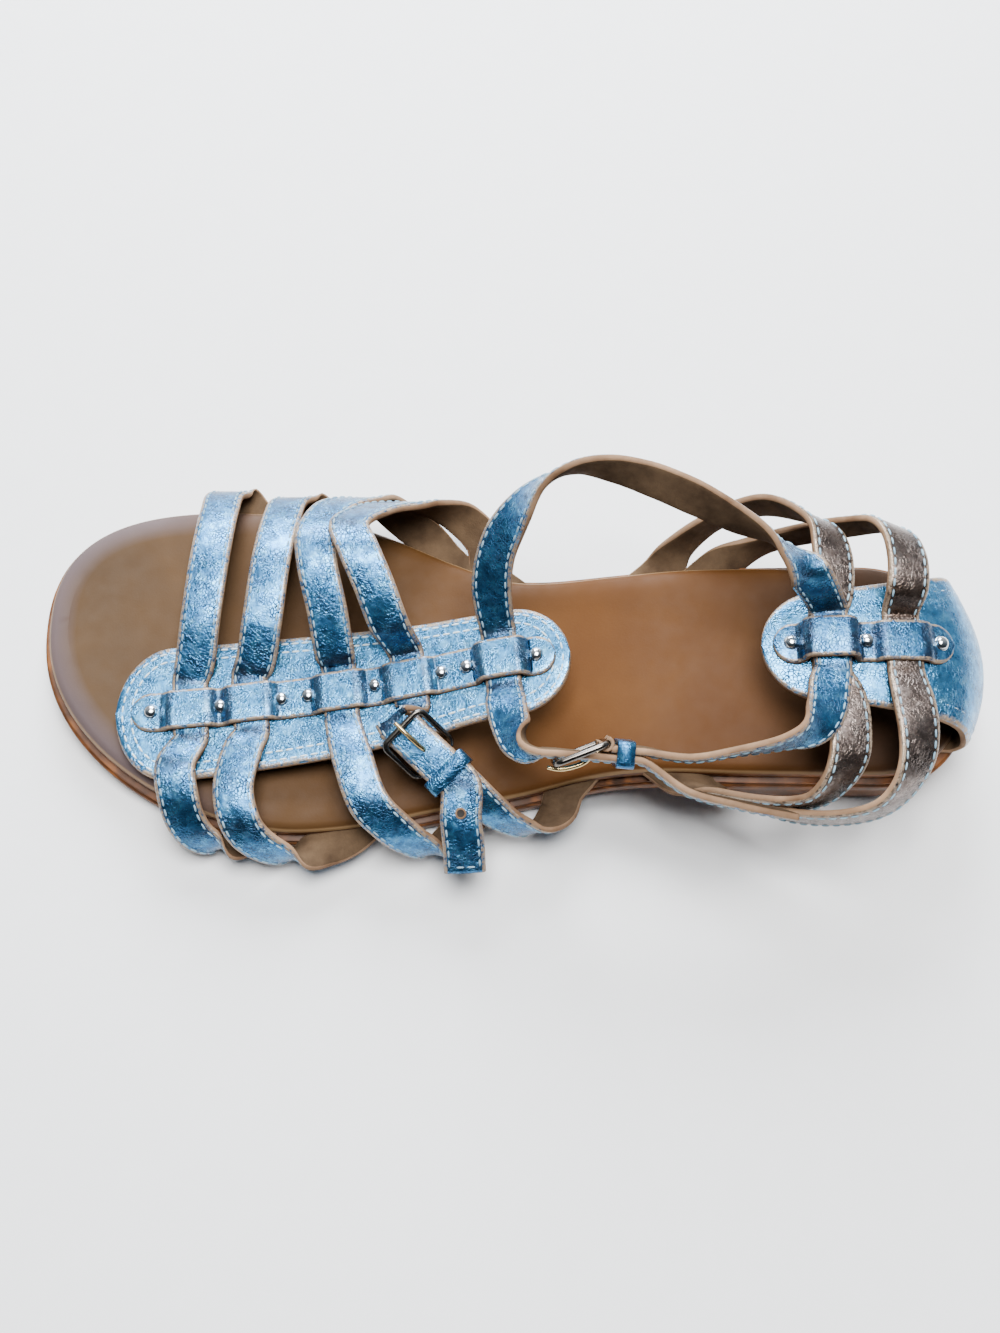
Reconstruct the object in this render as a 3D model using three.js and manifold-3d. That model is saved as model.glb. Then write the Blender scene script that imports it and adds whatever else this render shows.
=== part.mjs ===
// A flat gladiator sandal for the left foot, in millimetres.
// +X runs from heel to toe, +Y to the outer side of the foot and +Z up.
// The origin is the middle of the heel's ground face.

import * as THREE from "three";
import Module from "manifold-3d";
import { mergeVertices } from "three/addons/utils/BufferGeometryUtils.js";

const wasm = await Module();
wasm.setup();

// Sole
const soleLength = 256;
const ballWidth = 98;
const waistWidth = 62;
const heelWidth = 64;
const heelHeight = 12;
const heelBlockLength = 72;
const heelInset = 1;
const outsoleThickness = 5.5;
const footbedThickness = 5;
const footbedRim = 2.2;
const footbedDish = 1;
const toeSpring = 5;
const toeRound = 72;
const heelRound = 28;

// Leather
const strapWidth = 11;
const strapThickness = 2;
const panelThickness = 2.2;
const bandWidth = 11;
const bandThickness = 1.8;
const vampWidth = 38;
const vampRise = 19;
const heelStripReach = 60;
const heelStripRise = 20;
const heelStripBaseWidth = 46;
const heelStripTipWidth = 28;
const loopReach = 40;
const loopRise = 32;
const ankleTail = 56;
const instepTail = 34;
const rootDepth = 9;
const rootSink = 0.1;

// Metal
const wire = 1.7;
const frameLength = 15;
const prongWire = 1.3;
const rivetWidth = 3.6;
const rivetHeight = 1.4;

// Fits: the gap between two pieces, and how deep two joined straps press into each other
const clearance = 0.3;
const press = 0.25;

const FORWARD = new THREE.Vector3(1, 0, 0);
const OUTWARD = new THREE.Vector3(0, 1, 0);
const LATERAL = 1;
const MEDIAL = -1;

// Small helpers

const mix = (from, to, share) => from + (to - from) * share;
const vector = (x, y, z) => new THREE.Vector3(x, y, z);
const radians = (degrees) => degrees * Math.PI / 180;

function smoothStep(value) {
  const t = Math.min(1, Math.max(0, value));
  return t * t * (3 - 2 * t);
}

// A smooth curve through one column of a table whose first column is the place.
function smoothAt(rows, column, place) {
  const last = rows.length - 1;
  const next = rows.findIndex((row) => row[0] >= place);
  const b = next < 1 ? Math.max(next, 1) : next;
  const end = next < 0 ? last : b;
  const start = end - 1;
  const slope = (i) => {
    const before = rows[Math.max(i - 1, 0)];
    const after = rows[Math.min(i + 1, last)];
    return (after[column] - before[column]) / (after[0] - before[0]);
  };
  const span = rows[end][0] - rows[start][0];
  const t = (place - rows[start][0]) / span;
  const rise = rows[end][column] - rows[start][column];
  const startSlope = slope(start) * span;
  const endSlope = slope(end) * span;
  const cubic = startSlope + endSlope - 2 * rise;
  const square = 3 * rise - 2 * startSlope - endSlope;
  return rows[start][column] + t * (startSlope + t * (square + t * cubic));
}

// A closed solid from a list of rings with as many points each; both ends are fanned shut.
function closedLoft(rings) {
  const count = rings[0].length;
  const corners = rings.flat();
  const faces = [];
  for (let i = 0; i < rings.length - 1; i += 1) {
    for (let j = 0; j < count; j += 1) {
      const a = i * count + j;
      const b = i * count + (j + 1) % count;
      faces.push([a, b, b + count], [a, b + count, a + count]);
    }
  }
  const lastRing = (rings.length - 1) * count;
  for (let j = 1; j < count - 1; j += 1) {
    faces.push([0, j + 1, j], [lastRing, lastRing + j, lastRing + j + 1]);
  }
  const volume = faces.reduce((sum, [a, b, c]) => {
    const normal = vector(0, 0, 0).crossVectors(corners[b], corners[c]);
    return sum + corners[a].dot(normal);
  }, 0);
  const turned = volume > 0 ? faces : faces.map(([a, b, c]) => [a, c, b]);
  const geometry = new THREE.BufferGeometry().setFromPoints(corners);
  geometry.setIndex(turned.flat());
  return geometry;
}

function solidOf(geometry) {
  const bare = geometry.clone();
  bare.deleteAttribute("normal");
  bare.deleteAttribute("uv");
  const merged = mergeVertices(bare, 1e-4);
  return new wasm.Manifold(new wasm.Mesh({
    numProp: 3,
    vertProperties: Float32Array.from(merged.attributes.position.array),
    triVerts: Uint32Array.from(merged.index.array),
  }));
}

function geometryOf(solid) {
  const mesh = solid.getMesh();
  const geometry = new THREE.BufferGeometry();
  geometry.setAttribute("position", new THREE.BufferAttribute(mesh.vertProperties, 3));
  geometry.setIndex(new THREE.BufferAttribute(mesh.triVerts, 1));
  geometry.computeVertexNormals();
  return geometry;
}

const joined = (geometries) => geometries.map(solidOf).reduce((whole, next) => whole.add(next));
const without = (solid, cutters) => cutters.reduce((rest, cutter) => rest.subtract(cutter), solid);

// The outer skin of a joined piece: the hairline hollows between layers that are pressed or
// sewn together are filled, and a crumb that a pocket leaves beside a piece is left off.
function skinOf(solid) {
  const geometry = geometryOf(solid);
  const faces = geometry.index.array;
  const parent = Array.from({ length: geometry.attributes.position.count }, (_, i) => i);
  const root = (i) => {
    let top = i;
    while (parent[top] !== top) top = parent[top];
    parent[i] = top;
    return top;
  };
  for (let i = 0; i < faces.length; i += 3) {
    parent[root(faces[i + 1])] = root(faces[i]);
    parent[root(faces[i + 2])] = root(faces[i]);
  }
  const shells = new Map();
  for (let i = 0; i < faces.length; i += 3) {
    const shell = root(faces[i]);
    shells.set(shell, [...(shells.get(shell) ?? []), faces[i], faces[i + 1], faces[i + 2]]);
  }
  const largest = [...shells.values()].sort((a, b) => b.length - a.length)[0];
  const skin = new THREE.BufferGeometry();
  skin.setAttribute("position", geometry.attributes.position);
  skin.setIndex(largest);
  const own = mergeVertices(skin.toNonIndexed(), 1e-5);
  own.computeVertexNormals();
  return own;
}

// The sole's outline and heights

const backX = -heelBlockLength / 2 - heelInset;
const breastShare = 0.285;
const ballShare = 0.52;
const springShare = 0.8;
const roundPower = 2.3;
const soleStations = 36;
const endShare = 0.0006;

// along: share of the length; shift: share of the ball width to the outer side; width
const outlineRows = [
  [0.0, 0, heelWidth],
  [0.12, 0, heelWidth],
  [0.25, 0, heelWidth * 0.99],
  [0.38, 0, waistWidth],
  [0.48, 0.015, waistWidth * 1.09],
  [0.55, 0, ballWidth * 0.78],
  [0.61, -0.018, ballWidth * 0.88],
  [0.67, -0.033, ballWidth * 0.965],
  [0.74, -0.045, ballWidth],
  [0.86, -0.097, ballWidth],
  [1.0, -0.17, ballWidth],
];

const alongOf = (x) => (x - backX) / soleLength;

function roundEnd(distance, length) {
  const t = Math.max(0, 1 - distance / length);
  return (1 - t ** roundPower) ** (1 / roundPower);
}

// A point of the outline, drawn in by an inset all round.
function outlinePoint(along, side, inset) {
  const shift = smoothAt(outlineRows, 1, along) * ballWidth;
  const half = smoothAt(outlineRows, 2, along) / 2 - inset;
  const ends = roundEnd(along * soleLength, heelRound) * roundEnd((1 - along) * soleLength, toeRound);
  return vector(mix(backX + inset, backX + soleLength - inset, along), shift + side * half * ends, 0);
}

// The height of the outsole's underside: heel, arch, flat ball and toe spring.
function groundLine(along) {
  const arch = heelHeight * (1 - smoothStep((along - breastShare) / (ballShare - breastShare)));
  const spring = toeSpring * Math.max(0, (along - springShare) / (1 - springShare)) ** 2;
  return arch + spring;
}

const outsoleTop = (along) => groundLine(along) + outsoleThickness;
const footbedBottom = (along) => outsoleTop(along) + clearance;
const footbedTop = (along) => footbedBottom(along) + footbedThickness;
const ballTop = footbedTop(0.66);

// sideProfile: inset and level of each line that runs round the piece, from its bottom up
function soleLoft(sideProfile, dish, floorAt, roofAt, shares) {
  const dishColumns = [0.7, 0, -0.7];
  return closedLoft(shares.map((along) => {
    const floor = floorAt(along);
    const roof = roofAt(along);
    const wall = (side) => sideProfile.map(([inset, level]) => (
      outlinePoint(along, side, inset).setZ(mix(floor, roof, level))));
    const outer = wall(LATERAL);
    const inner = wall(MEDIAL).reverse();
    const top = dish > 0 ? dishColumns.map((share) => {
      const point = outer.at(-1).clone().lerp(inner[0], (1 - share) / 2);
      return point.setZ(roof - dish * (1 - share * share));
    }) : [];
    return [...outer, ...top, ...inner];
  }));
}

const evenShares = (from, to, count, spread) => Array.from({ length: count + 1 }, (_, i) => (
  mix(from, to, spread(i / count))));
const bothEndsFine = (t) => (1 - Math.cos(Math.PI * t)) / 2;
const backEndFine = (t) => t ** 2;

const fullShares = evenShares(endShare, 1 - endShare, soleStations, bothEndsFine);

// The outsole's side has a narrow ledge under its top edge.
const outsoleProfile = [[0.9, 0], [0, 0.18], [0, 0.72], [0.5, 0.8], [0.5, 1]];
const outsoleLoft = () => soleLoft(outsoleProfile, 0, groundLine, outsoleTop, fullShares);

// The footbed's edge is a thin board line and then a soft round.
const footbedProfile = [
  [footbedRim, 0],
  [footbedRim, 0.3],
  [footbedRim + 0.7, 0.72],
  [footbedRim + 2.4, 0.96],
  [footbedRim + 6, 1],
];
const footbedLoft = () => soleLoft(footbedProfile, footbedDish, footbedBottom, footbedTop, fullShares);

// The heel block ends in a straight breast across the sole.
function heelBlockLoft() {
  const profile = [[heelInset + 1.2, 0], [heelInset, 0.12], [heelInset, 1]];
  const shares = evenShares(endShare, heelBlockLength / soleLength, 18, backEndFine);
  return soleLoft(profile, 0, () => 0, () => heelHeight - clearance, shares);
}

// Straps: a flat band carried along a curve

const strapStep = 5;

// A control point of a strap: its place, the direction of its width, a roll about the path in
// degrees, and where it differs from the strap's own, a width and a shift of the two edges.
function knot(at, side, roll = 0, more = {}) {
  return { at, side, roll, ...more };
}

function ribbonFrame(knots, curve, share) {
  const t = curve.getUtoTmapping(share);
  const at = curve.getPoint(t);
  const along = curve.getTangent(t);
  const place = Math.min(t * (knots.length - 1), knots.length - 1.0001);
  const before = knots[Math.floor(place)];
  const after = knots[Math.floor(place) + 1];
  const part = place - Math.floor(place);
  const side = before.side.clone().lerp(after.side, part);
  side.addScaledVector(along, -side.dot(along)).normalize();
  side.applyAxisAngle(along, radians(mix(before.roll, after.roll, part)));
  const face = vector(0, 0, 0).crossVectors(along, side);
  const valueOf = (name, usual) => mix(before[name] ?? usual, after[name] ?? usual, part);
  const none = vector(0, 0, 0);
  const edges = (before.edges ?? none).clone().lerp(after.edges ?? none, part);
  return { at, along, side, face, edges, valueOf };
}

// Shares of the length at which a strap's sections lie, closer together in rounded ends.
function ribbonShares(length, rounds, step) {
  const fine = [0.02, 0.13, 0.35, 0.65];
  const [from, to] = rounds.map((round) => round / length);
  const start = from > 0 ? fine.map((share) => share * from) : [];
  const end = to > 0 ? fine.map((share) => 1 - share * to).reverse() : [];
  const count = Math.ceil(length * (1 - from - to) / step);
  return [...start, ...evenShares(from, 1 - to, count, (t) => t), ...end];
}

// How much of its width a strap keeps at some distance from a rounded end.
const roundedBy = (distance, round) => (
  round > 0 ? Math.sqrt(1 - Math.max(0, 1 - distance / round) ** 2) : 1);

// grow: how much larger all round the same band is drawn, to cut a pocket for it.
function ribbon(knots, { width, thickness, rounds = [0, 0], columns = [-1, 1], step = strapStep, grow = 0 }) {
  const curve = new THREE.CatmullRomCurve3(knots.map(({ at }) => at));
  curve.arcLengthDivisions = knots.length * 20;
  const length = curve.getLength();
  const shares = ribbonShares(length, rounds, step);
  const rings = shares.map((share, i) => {
    const frame = ribbonFrame(knots, curve, share);
    const outward = i === 0 ? -grow : 0;
    frame.at.addScaledVector(frame.along, i === shares.length - 1 ? grow : outward);
    const round = roundedBy(share * length, rounds[0]) * roundedBy((1 - share) * length, rounds[1]);
    const half = frame.valueOf("width", width) / 2 * round + grow;
    const line = (height) => columns.map((column) => frame.at.clone()
      .addScaledVector(frame.side, column * half)
      .addScaledVector(frame.edges, (column * round) ** 2)
      .addScaledVector(frame.face, height * (thickness / 2 + grow)));
    return [...line(1), ...line(-1).reverse()];
  });
  return closedLoft(rings);
}

const strapShape = { width: strapWidth, thickness: strapThickness };
const strap = (knots) => ribbon(knots, strapShape);

// The vamp strip along the middle of the foot

// along: share of the sole's length; shift: share of the ball width; rise and width: shares of
// vampRise above the footbed and of vampWidth
const vampRows = [
  [0.426, -0.016, 0.96, 0.78],
  [0.523, 0.012, 0.71, 0.79],
  [0.582, 0.038, 0.55, 0.85],
  [0.676, 0.07, 0.38, 0.93],
  [0.742, 0.088, 0.3, 0.97],
  [0.832, 0.112, 0.25, 1.0],
  [0.906, 0.122, 0.25, 1.0],
];
const vampKnots = vampRows.map(([along, shift, rise, width]) => knot(
  vector(backX + along * soleLength, shift * ballWidth, ballTop + rise * vampRise),
  OUTWARD, 0, { width: width * vampWidth }));
const vampCurve = new THREE.CatmullRomCurve3(vampKnots.map(({ at }) => at));
const vampRounds = [vampWidth * 0.4, vampWidth * 0.4];
const vampShape = { thickness: panelThickness, rounds: vampRounds, columns: [-1, 0, 1], step: 8 };

// Shares of the vamp strip's length from its rear end
const crossShares = [0.836, 0.705, 0.506, 0.353];
const ankleShare = 0.147;
const vampRivetShares = [0.921, 0.77, 0.635, 0.576, 0.428, 0.28, 0.223, 0.072];
const vampBandShares = [0.03, 0.965];

// A place on a strip: height is the distance from its middle plane.
function onStrip(knots, curve, share, height) {
  const frame = ribbonFrame(knots, curve, share);
  frame.at.addScaledVector(frame.face, height);
  return frame;
}

const pinchedWidth = strapWidth * 0.88;
const crossHeight = panelThickness / 2 + strapThickness / 2 - press;
const freeHeight = panelThickness / 2 + strapThickness / 2 + 2 * clearance;

// The keeper band lies on a strip and humps over each strap that passes under it.
// passes: share along the strip, how high the band's underside has to be there, and side room
function keeperBand(knots, curve, [from, to], passes) {
  const length = curve.getLength();
  const count = Math.round((to - from) * length / 1.6);
  const points = evenShares(from, to, count, (t) => t).map((share) => {
    const lift = passes.reduce((most, [place, height, room = 0]) => {
      const past = Math.abs(share - place) * length - pinchedWidth / 2 - room;
      return Math.max(most, height * (1 - smoothStep(past / humpRamp)));
    }, 0);
    const frame = onStrip(knots, curve, share, panelThickness / 2 + bandThickness / 2 - press + lift);
    return knot(frame.at, frame.side);
  });
  const rounds = [bandWidth / 2, bandWidth / 2];
  return ribbon(points, { width: bandWidth, thickness: bandThickness, rounds, step: 1.6 });
}

const humpRamp = 1.2;
const pressedLift = strapThickness - press;
const freeLift = strapThickness + 3.6 * clearance + press;

// Rivets stand on the keeper band; each has pressed a small flat seat into the humps beside it.

const rivetPlace = (knots, curve, share) => {
  const frame = onStrip(knots, curve, share, panelThickness / 2 + bandThickness - press + clearance);
  return new THREE.Matrix4().makeBasis(frame.along, frame.side, frame.face).setPosition(frame.at);
};

function rivet(knots, curve, share) {
  const radius = rivetWidth / 2;
  const dome = [0, 0.45, 0.85].map((height) => (
    new THREE.Vector2(radius * Math.sqrt(1 - height * height), height * rivetHeight)));
  const profile = [new THREE.Vector2(0, 0), ...dome, new THREE.Vector2(0, rivetHeight)];
  const geometry = new THREE.LatheGeometry(profile, 8).rotateX(Math.PI / 2);
  return geometry.applyMatrix4(rivetPlace(knots, curve, share));
}

const rivetSeats = (knots, curve, shares) => shares.map((share) => {
  const radius = rivetWidth / 2 + clearance;
  const seat = new THREE.CylinderGeometry(radius, radius, 3, 8).rotateX(Math.PI / 2);
  seat.translate(0, 0, 1.5 - clearance);
  return solidOf(seat.applyMatrix4(rivetPlace(knots, curve, share)));
});

// A strap lies flat under its keeper, from the outer side to the inner, and is pinched there.
function crossKnots(knots, curve, share, height) {
  const frame = onStrip(knots, curve, share, height);
  return [8, 5, 0, -5, -8].map((across) => knot(
    frame.at.clone().addScaledVector(frame.side, across), frame.along, 0, { width: pinchedWidth }));
}

// The end of a strap between footbed and outsole: its edge point and a point deeper in.
function rootKnots(along, side, sweep) {
  const edge = outlinePoint(along, side, footbedRim - 1);
  edge.setZ(footbedBottom(along) + strapThickness / 2 - rootSink);
  const inward = vector(-Math.sin(radians(sweep)), -side * Math.cos(radians(sweep)), 0);
  const deep = edge.clone().addScaledVector(inward, rootDepth);
  deep.setZ(footbedBottom(alongOf(deep.x)) + strapThickness / 2 - rootSink);
  const slopeSide = vector(soleLength * 0.02, 0, footbedBottom(along + 0.01) - footbedBottom(along - 0.01));
  return [knot(edge, slopeSide.normalize()), knot(deep, slopeSide)];
}

const turned = (each) => ({ ...each, side: each.side.clone().negate() });
const leaned = (degrees) => vector(Math.cos(radians(degrees)), 0, Math.sin(radians(degrees)));

// The free stretch of a strap between its crossing and its root.
// run: from 0 at the crossing to 1 at the root, along the foot; reach: the same, across it;
// rise: from 0 at the root's height to 1 at the crossing's; lean: of the width, from flat; roll
function freeRun(cross, root, rows) {
  return rows.map(([run, reach, rise, lean = 0, roll = 0]) => knot(
    vector(mix(cross.at.x, root.at.x, run), mix(cross.at.y, root.at.y, reach),
      mix(root.at.z, cross.at.z, rise)), leaned(lean), roll));
}

// Each cross strap: where its ends go into the sole, how far back they sweep, and its two runs
const crossStraps = [
  {
    outer: [0.765, 35, [[-0.15, 0.5, 1.18], [-0.08, 0.78, 1.02], [0.02, 0.95, 0.68],
      [0.2, 1.06, 0.34], [0.55, 1.1, 0.06]]],
    inner: [0.785, 30, [[0.06, 0.2, 1.2], [0.2, 0.38, 1.6], [0.35, 0.66, 1.75], [0.4, 0.9, 1.3],
      [0.42, 1.03, 0.7], [0.7, 1.09, 0.15]]],
  },
  {
    outer: [0.655, 40, [[-0.04, 0.4, 1.1], [-0.1, 0.72, 1.15], [-0.04, 0.96, 1.02], [0.05, 1.08, 0.75],
      [0.24, 1.17, 0.36], [0.45, 1.19, 0.1], [0.72, 1.12, 0.0]]],
    inner: [0.7, 35, [[0.05, 0.18, 1.15], [0.18, 0.36, 1.6], [0.28, 0.65, 1.7], [0.36, 0.91, 1.2],
      [0.44, 1.05, 0.6], [0.72, 1.07, 0.1]]],
  },
  {
    outer: [0.53, 45, [[0.12, 0.65, 1.22], [0.25, 1.05, 1.12], [0.4, 1.22, 0.85],
      [0.57, 1.34, 0.5], [0.74, 1.38, 0.16], [0.88, 1.25, 0.02]]],
    inner: [0.56, 45, [[-0.05, 0.2, 1.2], [-0.12, 0.45, 1.7], [-0.22, 0.72, 2.0], [-0.25, 0.9, 2.0],
      [-0.2, 1.04, 1.78], [-0.1, 1.17, 1.48], [0.1, 1.26, 1.12], [0.32, 1.3, 0.74],
      [0.55, 1.24, 0.34], [0.8, 1.14, 0.08]]],
  },
  {
    inner: [0.51, 45, [[-0.23, 0.34, 1.5], [-0.42, 0.6, 1.85], [-0.62, 0.86, 2.0],
      [-0.75, 1.07, 1.85], [-0.5, 1.27, 1.42], [-0.2, 1.38, 1.06], [0.18, 1.45, 0.68],
      [0.62, 1.42, 0.34], [0.92, 1.26, 0.1]]],
  },
];

const crossings = crossShares.map((share) => crossKnots(vampKnots, vampCurve, share, crossHeight));

function strapEnd(crossing, side, [along, sweep, rows]) {
  const root = rootKnots(along, side, sweep);
  return [...freeRun(crossing[2], root[0], rows), ...root];
}

// Buckles: the frame's middle is a place on the billet, with the billet's own directions

const frameInside = strapWidth + 2 * clearance + 0.4;
const frameWidth = frameInside + 2 * wire;
const foldRadius = wire / 2 + clearance;
const foldThickness = 1;
const underLayer = strapThickness + clearance;
const pinRoom = prongWire + 2 * clearance;

// The billet runs under the front bar and over the heel bar with its leather fold.
const frontBarHeight = strapThickness / 2 + 2 * clearance + wire / 2;
const heelBarHeight = -(strapThickness / 2 + 2 * clearance + foldThickness + wire / 2);
const barSpan = frameLength - wire;
const frameTilt = Math.asin((frontBarHeight - heelBarHeight) / barSpan);
const barPlace = Math.cos(frameTilt) * barSpan / 2;

function buckleBasis(at, along, side) {
  const tangent = along.clone().normalize();
  const width = side.clone().addScaledVector(tangent, -side.dot(tangent)).normalize();
  const face = vector(0, 0, 0).crossVectors(tangent, width);
  return new THREE.Matrix4().makeBasis(tangent, width, face).setPosition(at);
}

// In the buckle's own directions: +X to the billet's tip, +Y across it and +Z off its face.
const placed = (basis, along, across, height) => vector(along, across, height).applyMatrix4(basis);
const sideOf = (basis) => vector(0, 1, 0).transformDirection(basis);

function roundedRectangle(path, length, width, radius) {
  const x = length / 2;
  const y = width / 2;
  path.moveTo(-x + radius, -y);
  path.lineTo(x - radius, -y);
  path.quadraticCurveTo(x, -y, x, -y + radius);
  path.lineTo(x, y - radius);
  path.quadraticCurveTo(x, y, x - radius, y);
  path.lineTo(-x + radius, y);
  path.quadraticCurveTo(-x, y, -x, y - radius);
  path.lineTo(-x, -y + radius);
  path.quadraticCurveTo(-x, -y, -x + radius, -y);
  return path;
}

function buckleFrame(basis) {
  const shape = roundedRectangle(new THREE.Shape(), frameLength, frameWidth, 2.2);
  shape.holes.push(roundedRectangle(new THREE.Path(), frameLength - 2 * wire, frameInside, 0.6));
  const bevel = wire * 0.2;
  const geometry = new THREE.ExtrudeGeometry(shape, {
    depth: wire - 2 * bevel,
    bevelSize: bevel,
    bevelOffset: -bevel,
    bevelThickness: bevel,
    bevelSegments: 1,
    curveSegments: 2,
  });
  geometry.translate(0, 0, bevel - wire / 2).rotateY(frameTilt);
  return geometry.translate(0, 0, (frontBarHeight + heelBarHeight) / 2).applyMatrix4(basis);
}

// A short tube round the heel bar, along +Y.
function barRing(wall, width, across) {
  const shape = new THREE.Shape().absarc(0, 0, foldRadius + wall, 0, 2 * Math.PI);
  shape.holes.push(new THREE.Path().absarc(0, 0, foldRadius, 0, 2 * Math.PI, true));
  const ring = new THREE.ExtrudeGeometry(shape, { depth: width, bevelEnabled: false, curveSegments: 6 });
  return ring.translate(0, 0, -width / 2).rotateX(Math.PI / 2).translate(barPlace, across, heelBarHeight);
}

// The prong turns round the heel bar, comes up through the billet and rests on the front bar.
function prongPin(radius) {
  const path = new THREE.CatmullRomCurve3([
    vector(barPlace - foldRadius * 0.3, 0, heelBarHeight + foldRadius + prongWire * 0.6),
    vector(barPlace - 2.6, 0, 0),
    vector(barPlace - 4.6, 0, strapThickness / 2 + clearance + prongWire / 2),
    vector(-barPlace - 1.6, 0, frontBarHeight + wire / 2 + 2 * clearance + prongWire / 2),
  ]);
  const section = new THREE.Shape().absarc(0, 0, radius, 0, 2 * Math.PI);
  const options = { steps: 7, extrudePath: path, curveSegments: 3, bevelEnabled: false };
  return new THREE.ExtrudeGeometry(section, options);
}

function buckleProng(basis) {
  const ring = barRing(prongWire * 0.8, prongWire, 0);
  return geometryOf(joined([ring, prongPin(prongWire / 2)])).applyMatrix4(basis);
}

// The hole that the prong makes in the billet.
const prongHole = (basis) => solidOf(prongPin(prongWire / 2 + clearance).applyMatrix4(basis));

// The two leather eyes of a strap's folded end, one on each side of the prong.
function foldEyes(basis) {
  const eyeWidth = (strapWidth - pinRoom) / 2 - 0.4;
  return [-1, 1].map((side) => barRing(foldThickness, eyeWidth, side * (pinRoom + eyeWidth) / 2)
    .applyMatrix4(basis));
}

// Room for the prong's ring between the eyes.
function prongRoom(basis) {
  const size = 2 * (foldRadius + foldThickness) + 1.5;
  const room = new THREE.BoxGeometry(size, pinRoom, size).translate(barPlace, 0, heelBarHeight);
  return solidOf(room.applyMatrix4(basis));
}

// The folded strap's knots under the billet, from the heel bar on.
function underKnots(basis, lengths) {
  return [foldRadius + 0.2, ...lengths].map((length) => (
    knot(placed(basis, barPlace + length, 0, -underLayer), sideOf(basis))));
}

// The billet's knots where it passes through the buckle.
const billetKnots = (basis, places) => places.map((place) => knot(placed(basis, place, 0, 0), sideOf(basis)));

// The leather loop round the billet and the folded strap.
const loopWall = 1.5;
const loopLength = 4.5;
function leatherLoop(basis, place) {
  const height = 2 * strapThickness + 3 * clearance;
  const width = strapWidth + 2 * clearance;
  const shape = roundedRectangle(new THREE.Shape(), height + 2 * loopWall, width + 2 * loopWall, 1.4);
  shape.holes.push(roundedRectangle(new THREE.Path(), height, width, 0.2));
  const loop = new THREE.ExtrudeGeometry(shape, { depth: loopLength, bevelEnabled: false, curveSegments: 2 });
  loop.translate(0, 0, -loopLength / 2).rotateY(Math.PI / 2);
  return loop.translate(place, 0, -(underLayer / 2)).applyMatrix4(basis);
}

// The instep buckle, on the fourth cross strap's outer end

const instepCross = crossings[3][2].at;
const instepMiddle = instepCross.clone().add(vector(-3, 18.8, 3.6));
const instepBasis = buckleBasis(instepMiddle, vector(-0.72, 0.68, -0.12), vector(-0.66, -0.7, 0.22));
const instepLoopPlace = barPlace + 4.9;

// back: share of the billet's free tail toward the heel; out: sideways; drop
const billetHang = [[0.33, 0.56, -0.12], [0.35, 0.75, -0.21], [0.36, 0.92, -0.34]];
const instepBillet = [
  ...billetKnots(instepBasis, [-9, -6.4, -2, 4, 8, instepLoopPlace, instepLoopPlace + 4.4]).map(turned),
  ...billetHang.map(([back, out, drop]) => knot(
    placed(instepBasis, 0, 0, 0).add(vector(-back, out, drop).multiplyScalar(instepTail)), FORWARD)),
];

const instepRoot = rootKnots(0.43, LATERAL, 40);
const instepRun = [[0.47, 1.19, 0.66, -10], [0.637, 1.34, 0.31, -30], [0.8, 1.385, 0.055, -40], [0.945, 1.22, -0.02, -20]];
const instepFold = [
  ...underKnots(instepBasis, [3.5, 7, 9.5]).map(turned),
  ...freeRun(crossings[3][2], instepRoot[0], instepRun),
  ...instepRoot,
];

// The front upper: vamp strip, keeper band and cross straps, joined where they cross

const frontStraps = crossStraps.map((each, i) => [
  ...(each.outer ? strapEnd(crossings[i], LATERAL, each.outer).reverse() : [...instepBillet].reverse()),
  ...crossings[i],
  ...strapEnd(crossings[i], MEDIAL, each.inner),
]);

function frontUpper() {
  const passes = [...crossShares.map((share) => [share, pressedLift]), [ankleShare, freeLift, 4 * clearance]];
  const whole = joined([
    ribbon(vampKnots, vampShape),
    ...frontStraps.map(strap),
    keeperBand(vampKnots, vampCurve, vampBandShares, passes),
  ]);
  return without(whole, [prongHole(instepBasis), ...rivetSeats(vampKnots, vampCurve, vampRivetShares)]);
}

// The heel strip: from the back of the sole up and forward over the footbed

// reach: share of heelStripReach from the sole's back; rise: share of heelStripRise above the
// strip's root; width: share from its base width to its tip's; wrap: of the edges round the heel
const heelStripRows = [
  [0.2, 0, 0, 0],
  [0.02, 0, 0, 7],
  [-0.015, 0.16, 0, 7],
  [0.02, 0.42, 0.05, 6],
  [0.12, 0.76, 0.2, 3.5],
  [0.27, 0.95, 0.42, 1.5],
  [0.48, 1.02, 0.66, 0.5],
  [0.74, 1.0, 0.9, 0],
  [1.0, 0.92, 1, 0],
];
const heelDrape = 1.6;
const heelRootZ = footbedBottom(0.05) + panelThickness / 2;
const heelKnots = heelStripRows.map(([reach, rise, width, wrap]) => knot(
  vector(backX + reach * heelStripReach, 0, heelRootZ + rise * heelStripRise), OUTWARD, 0, {
    width: mix(heelStripBaseWidth, heelStripTipWidth, width),
    edges: vector(wrap, 0, -heelDrape * smoothStep(width * 2)),
  }));
const heelCurve = new THREE.CatmullRomCurve3(heelKnots.map(({ at }) => at));
const heelColumns = [-1, -0.5, 0, 0.5, 1];

// Shares of the heel strip's length from its root
const frontQuarterShare = 0.795;
const rearQuarterShare = 0.57;
const heelRivetShares = [0.91, 0.683, 0.455];
const heelBandShares = [0.41, 0.965];

const heelCrossings = [frontQuarterShare, rearQuarterShare].map((share) => (
  crossKnots(heelKnots, heelCurve, share, crossHeight)));

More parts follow.
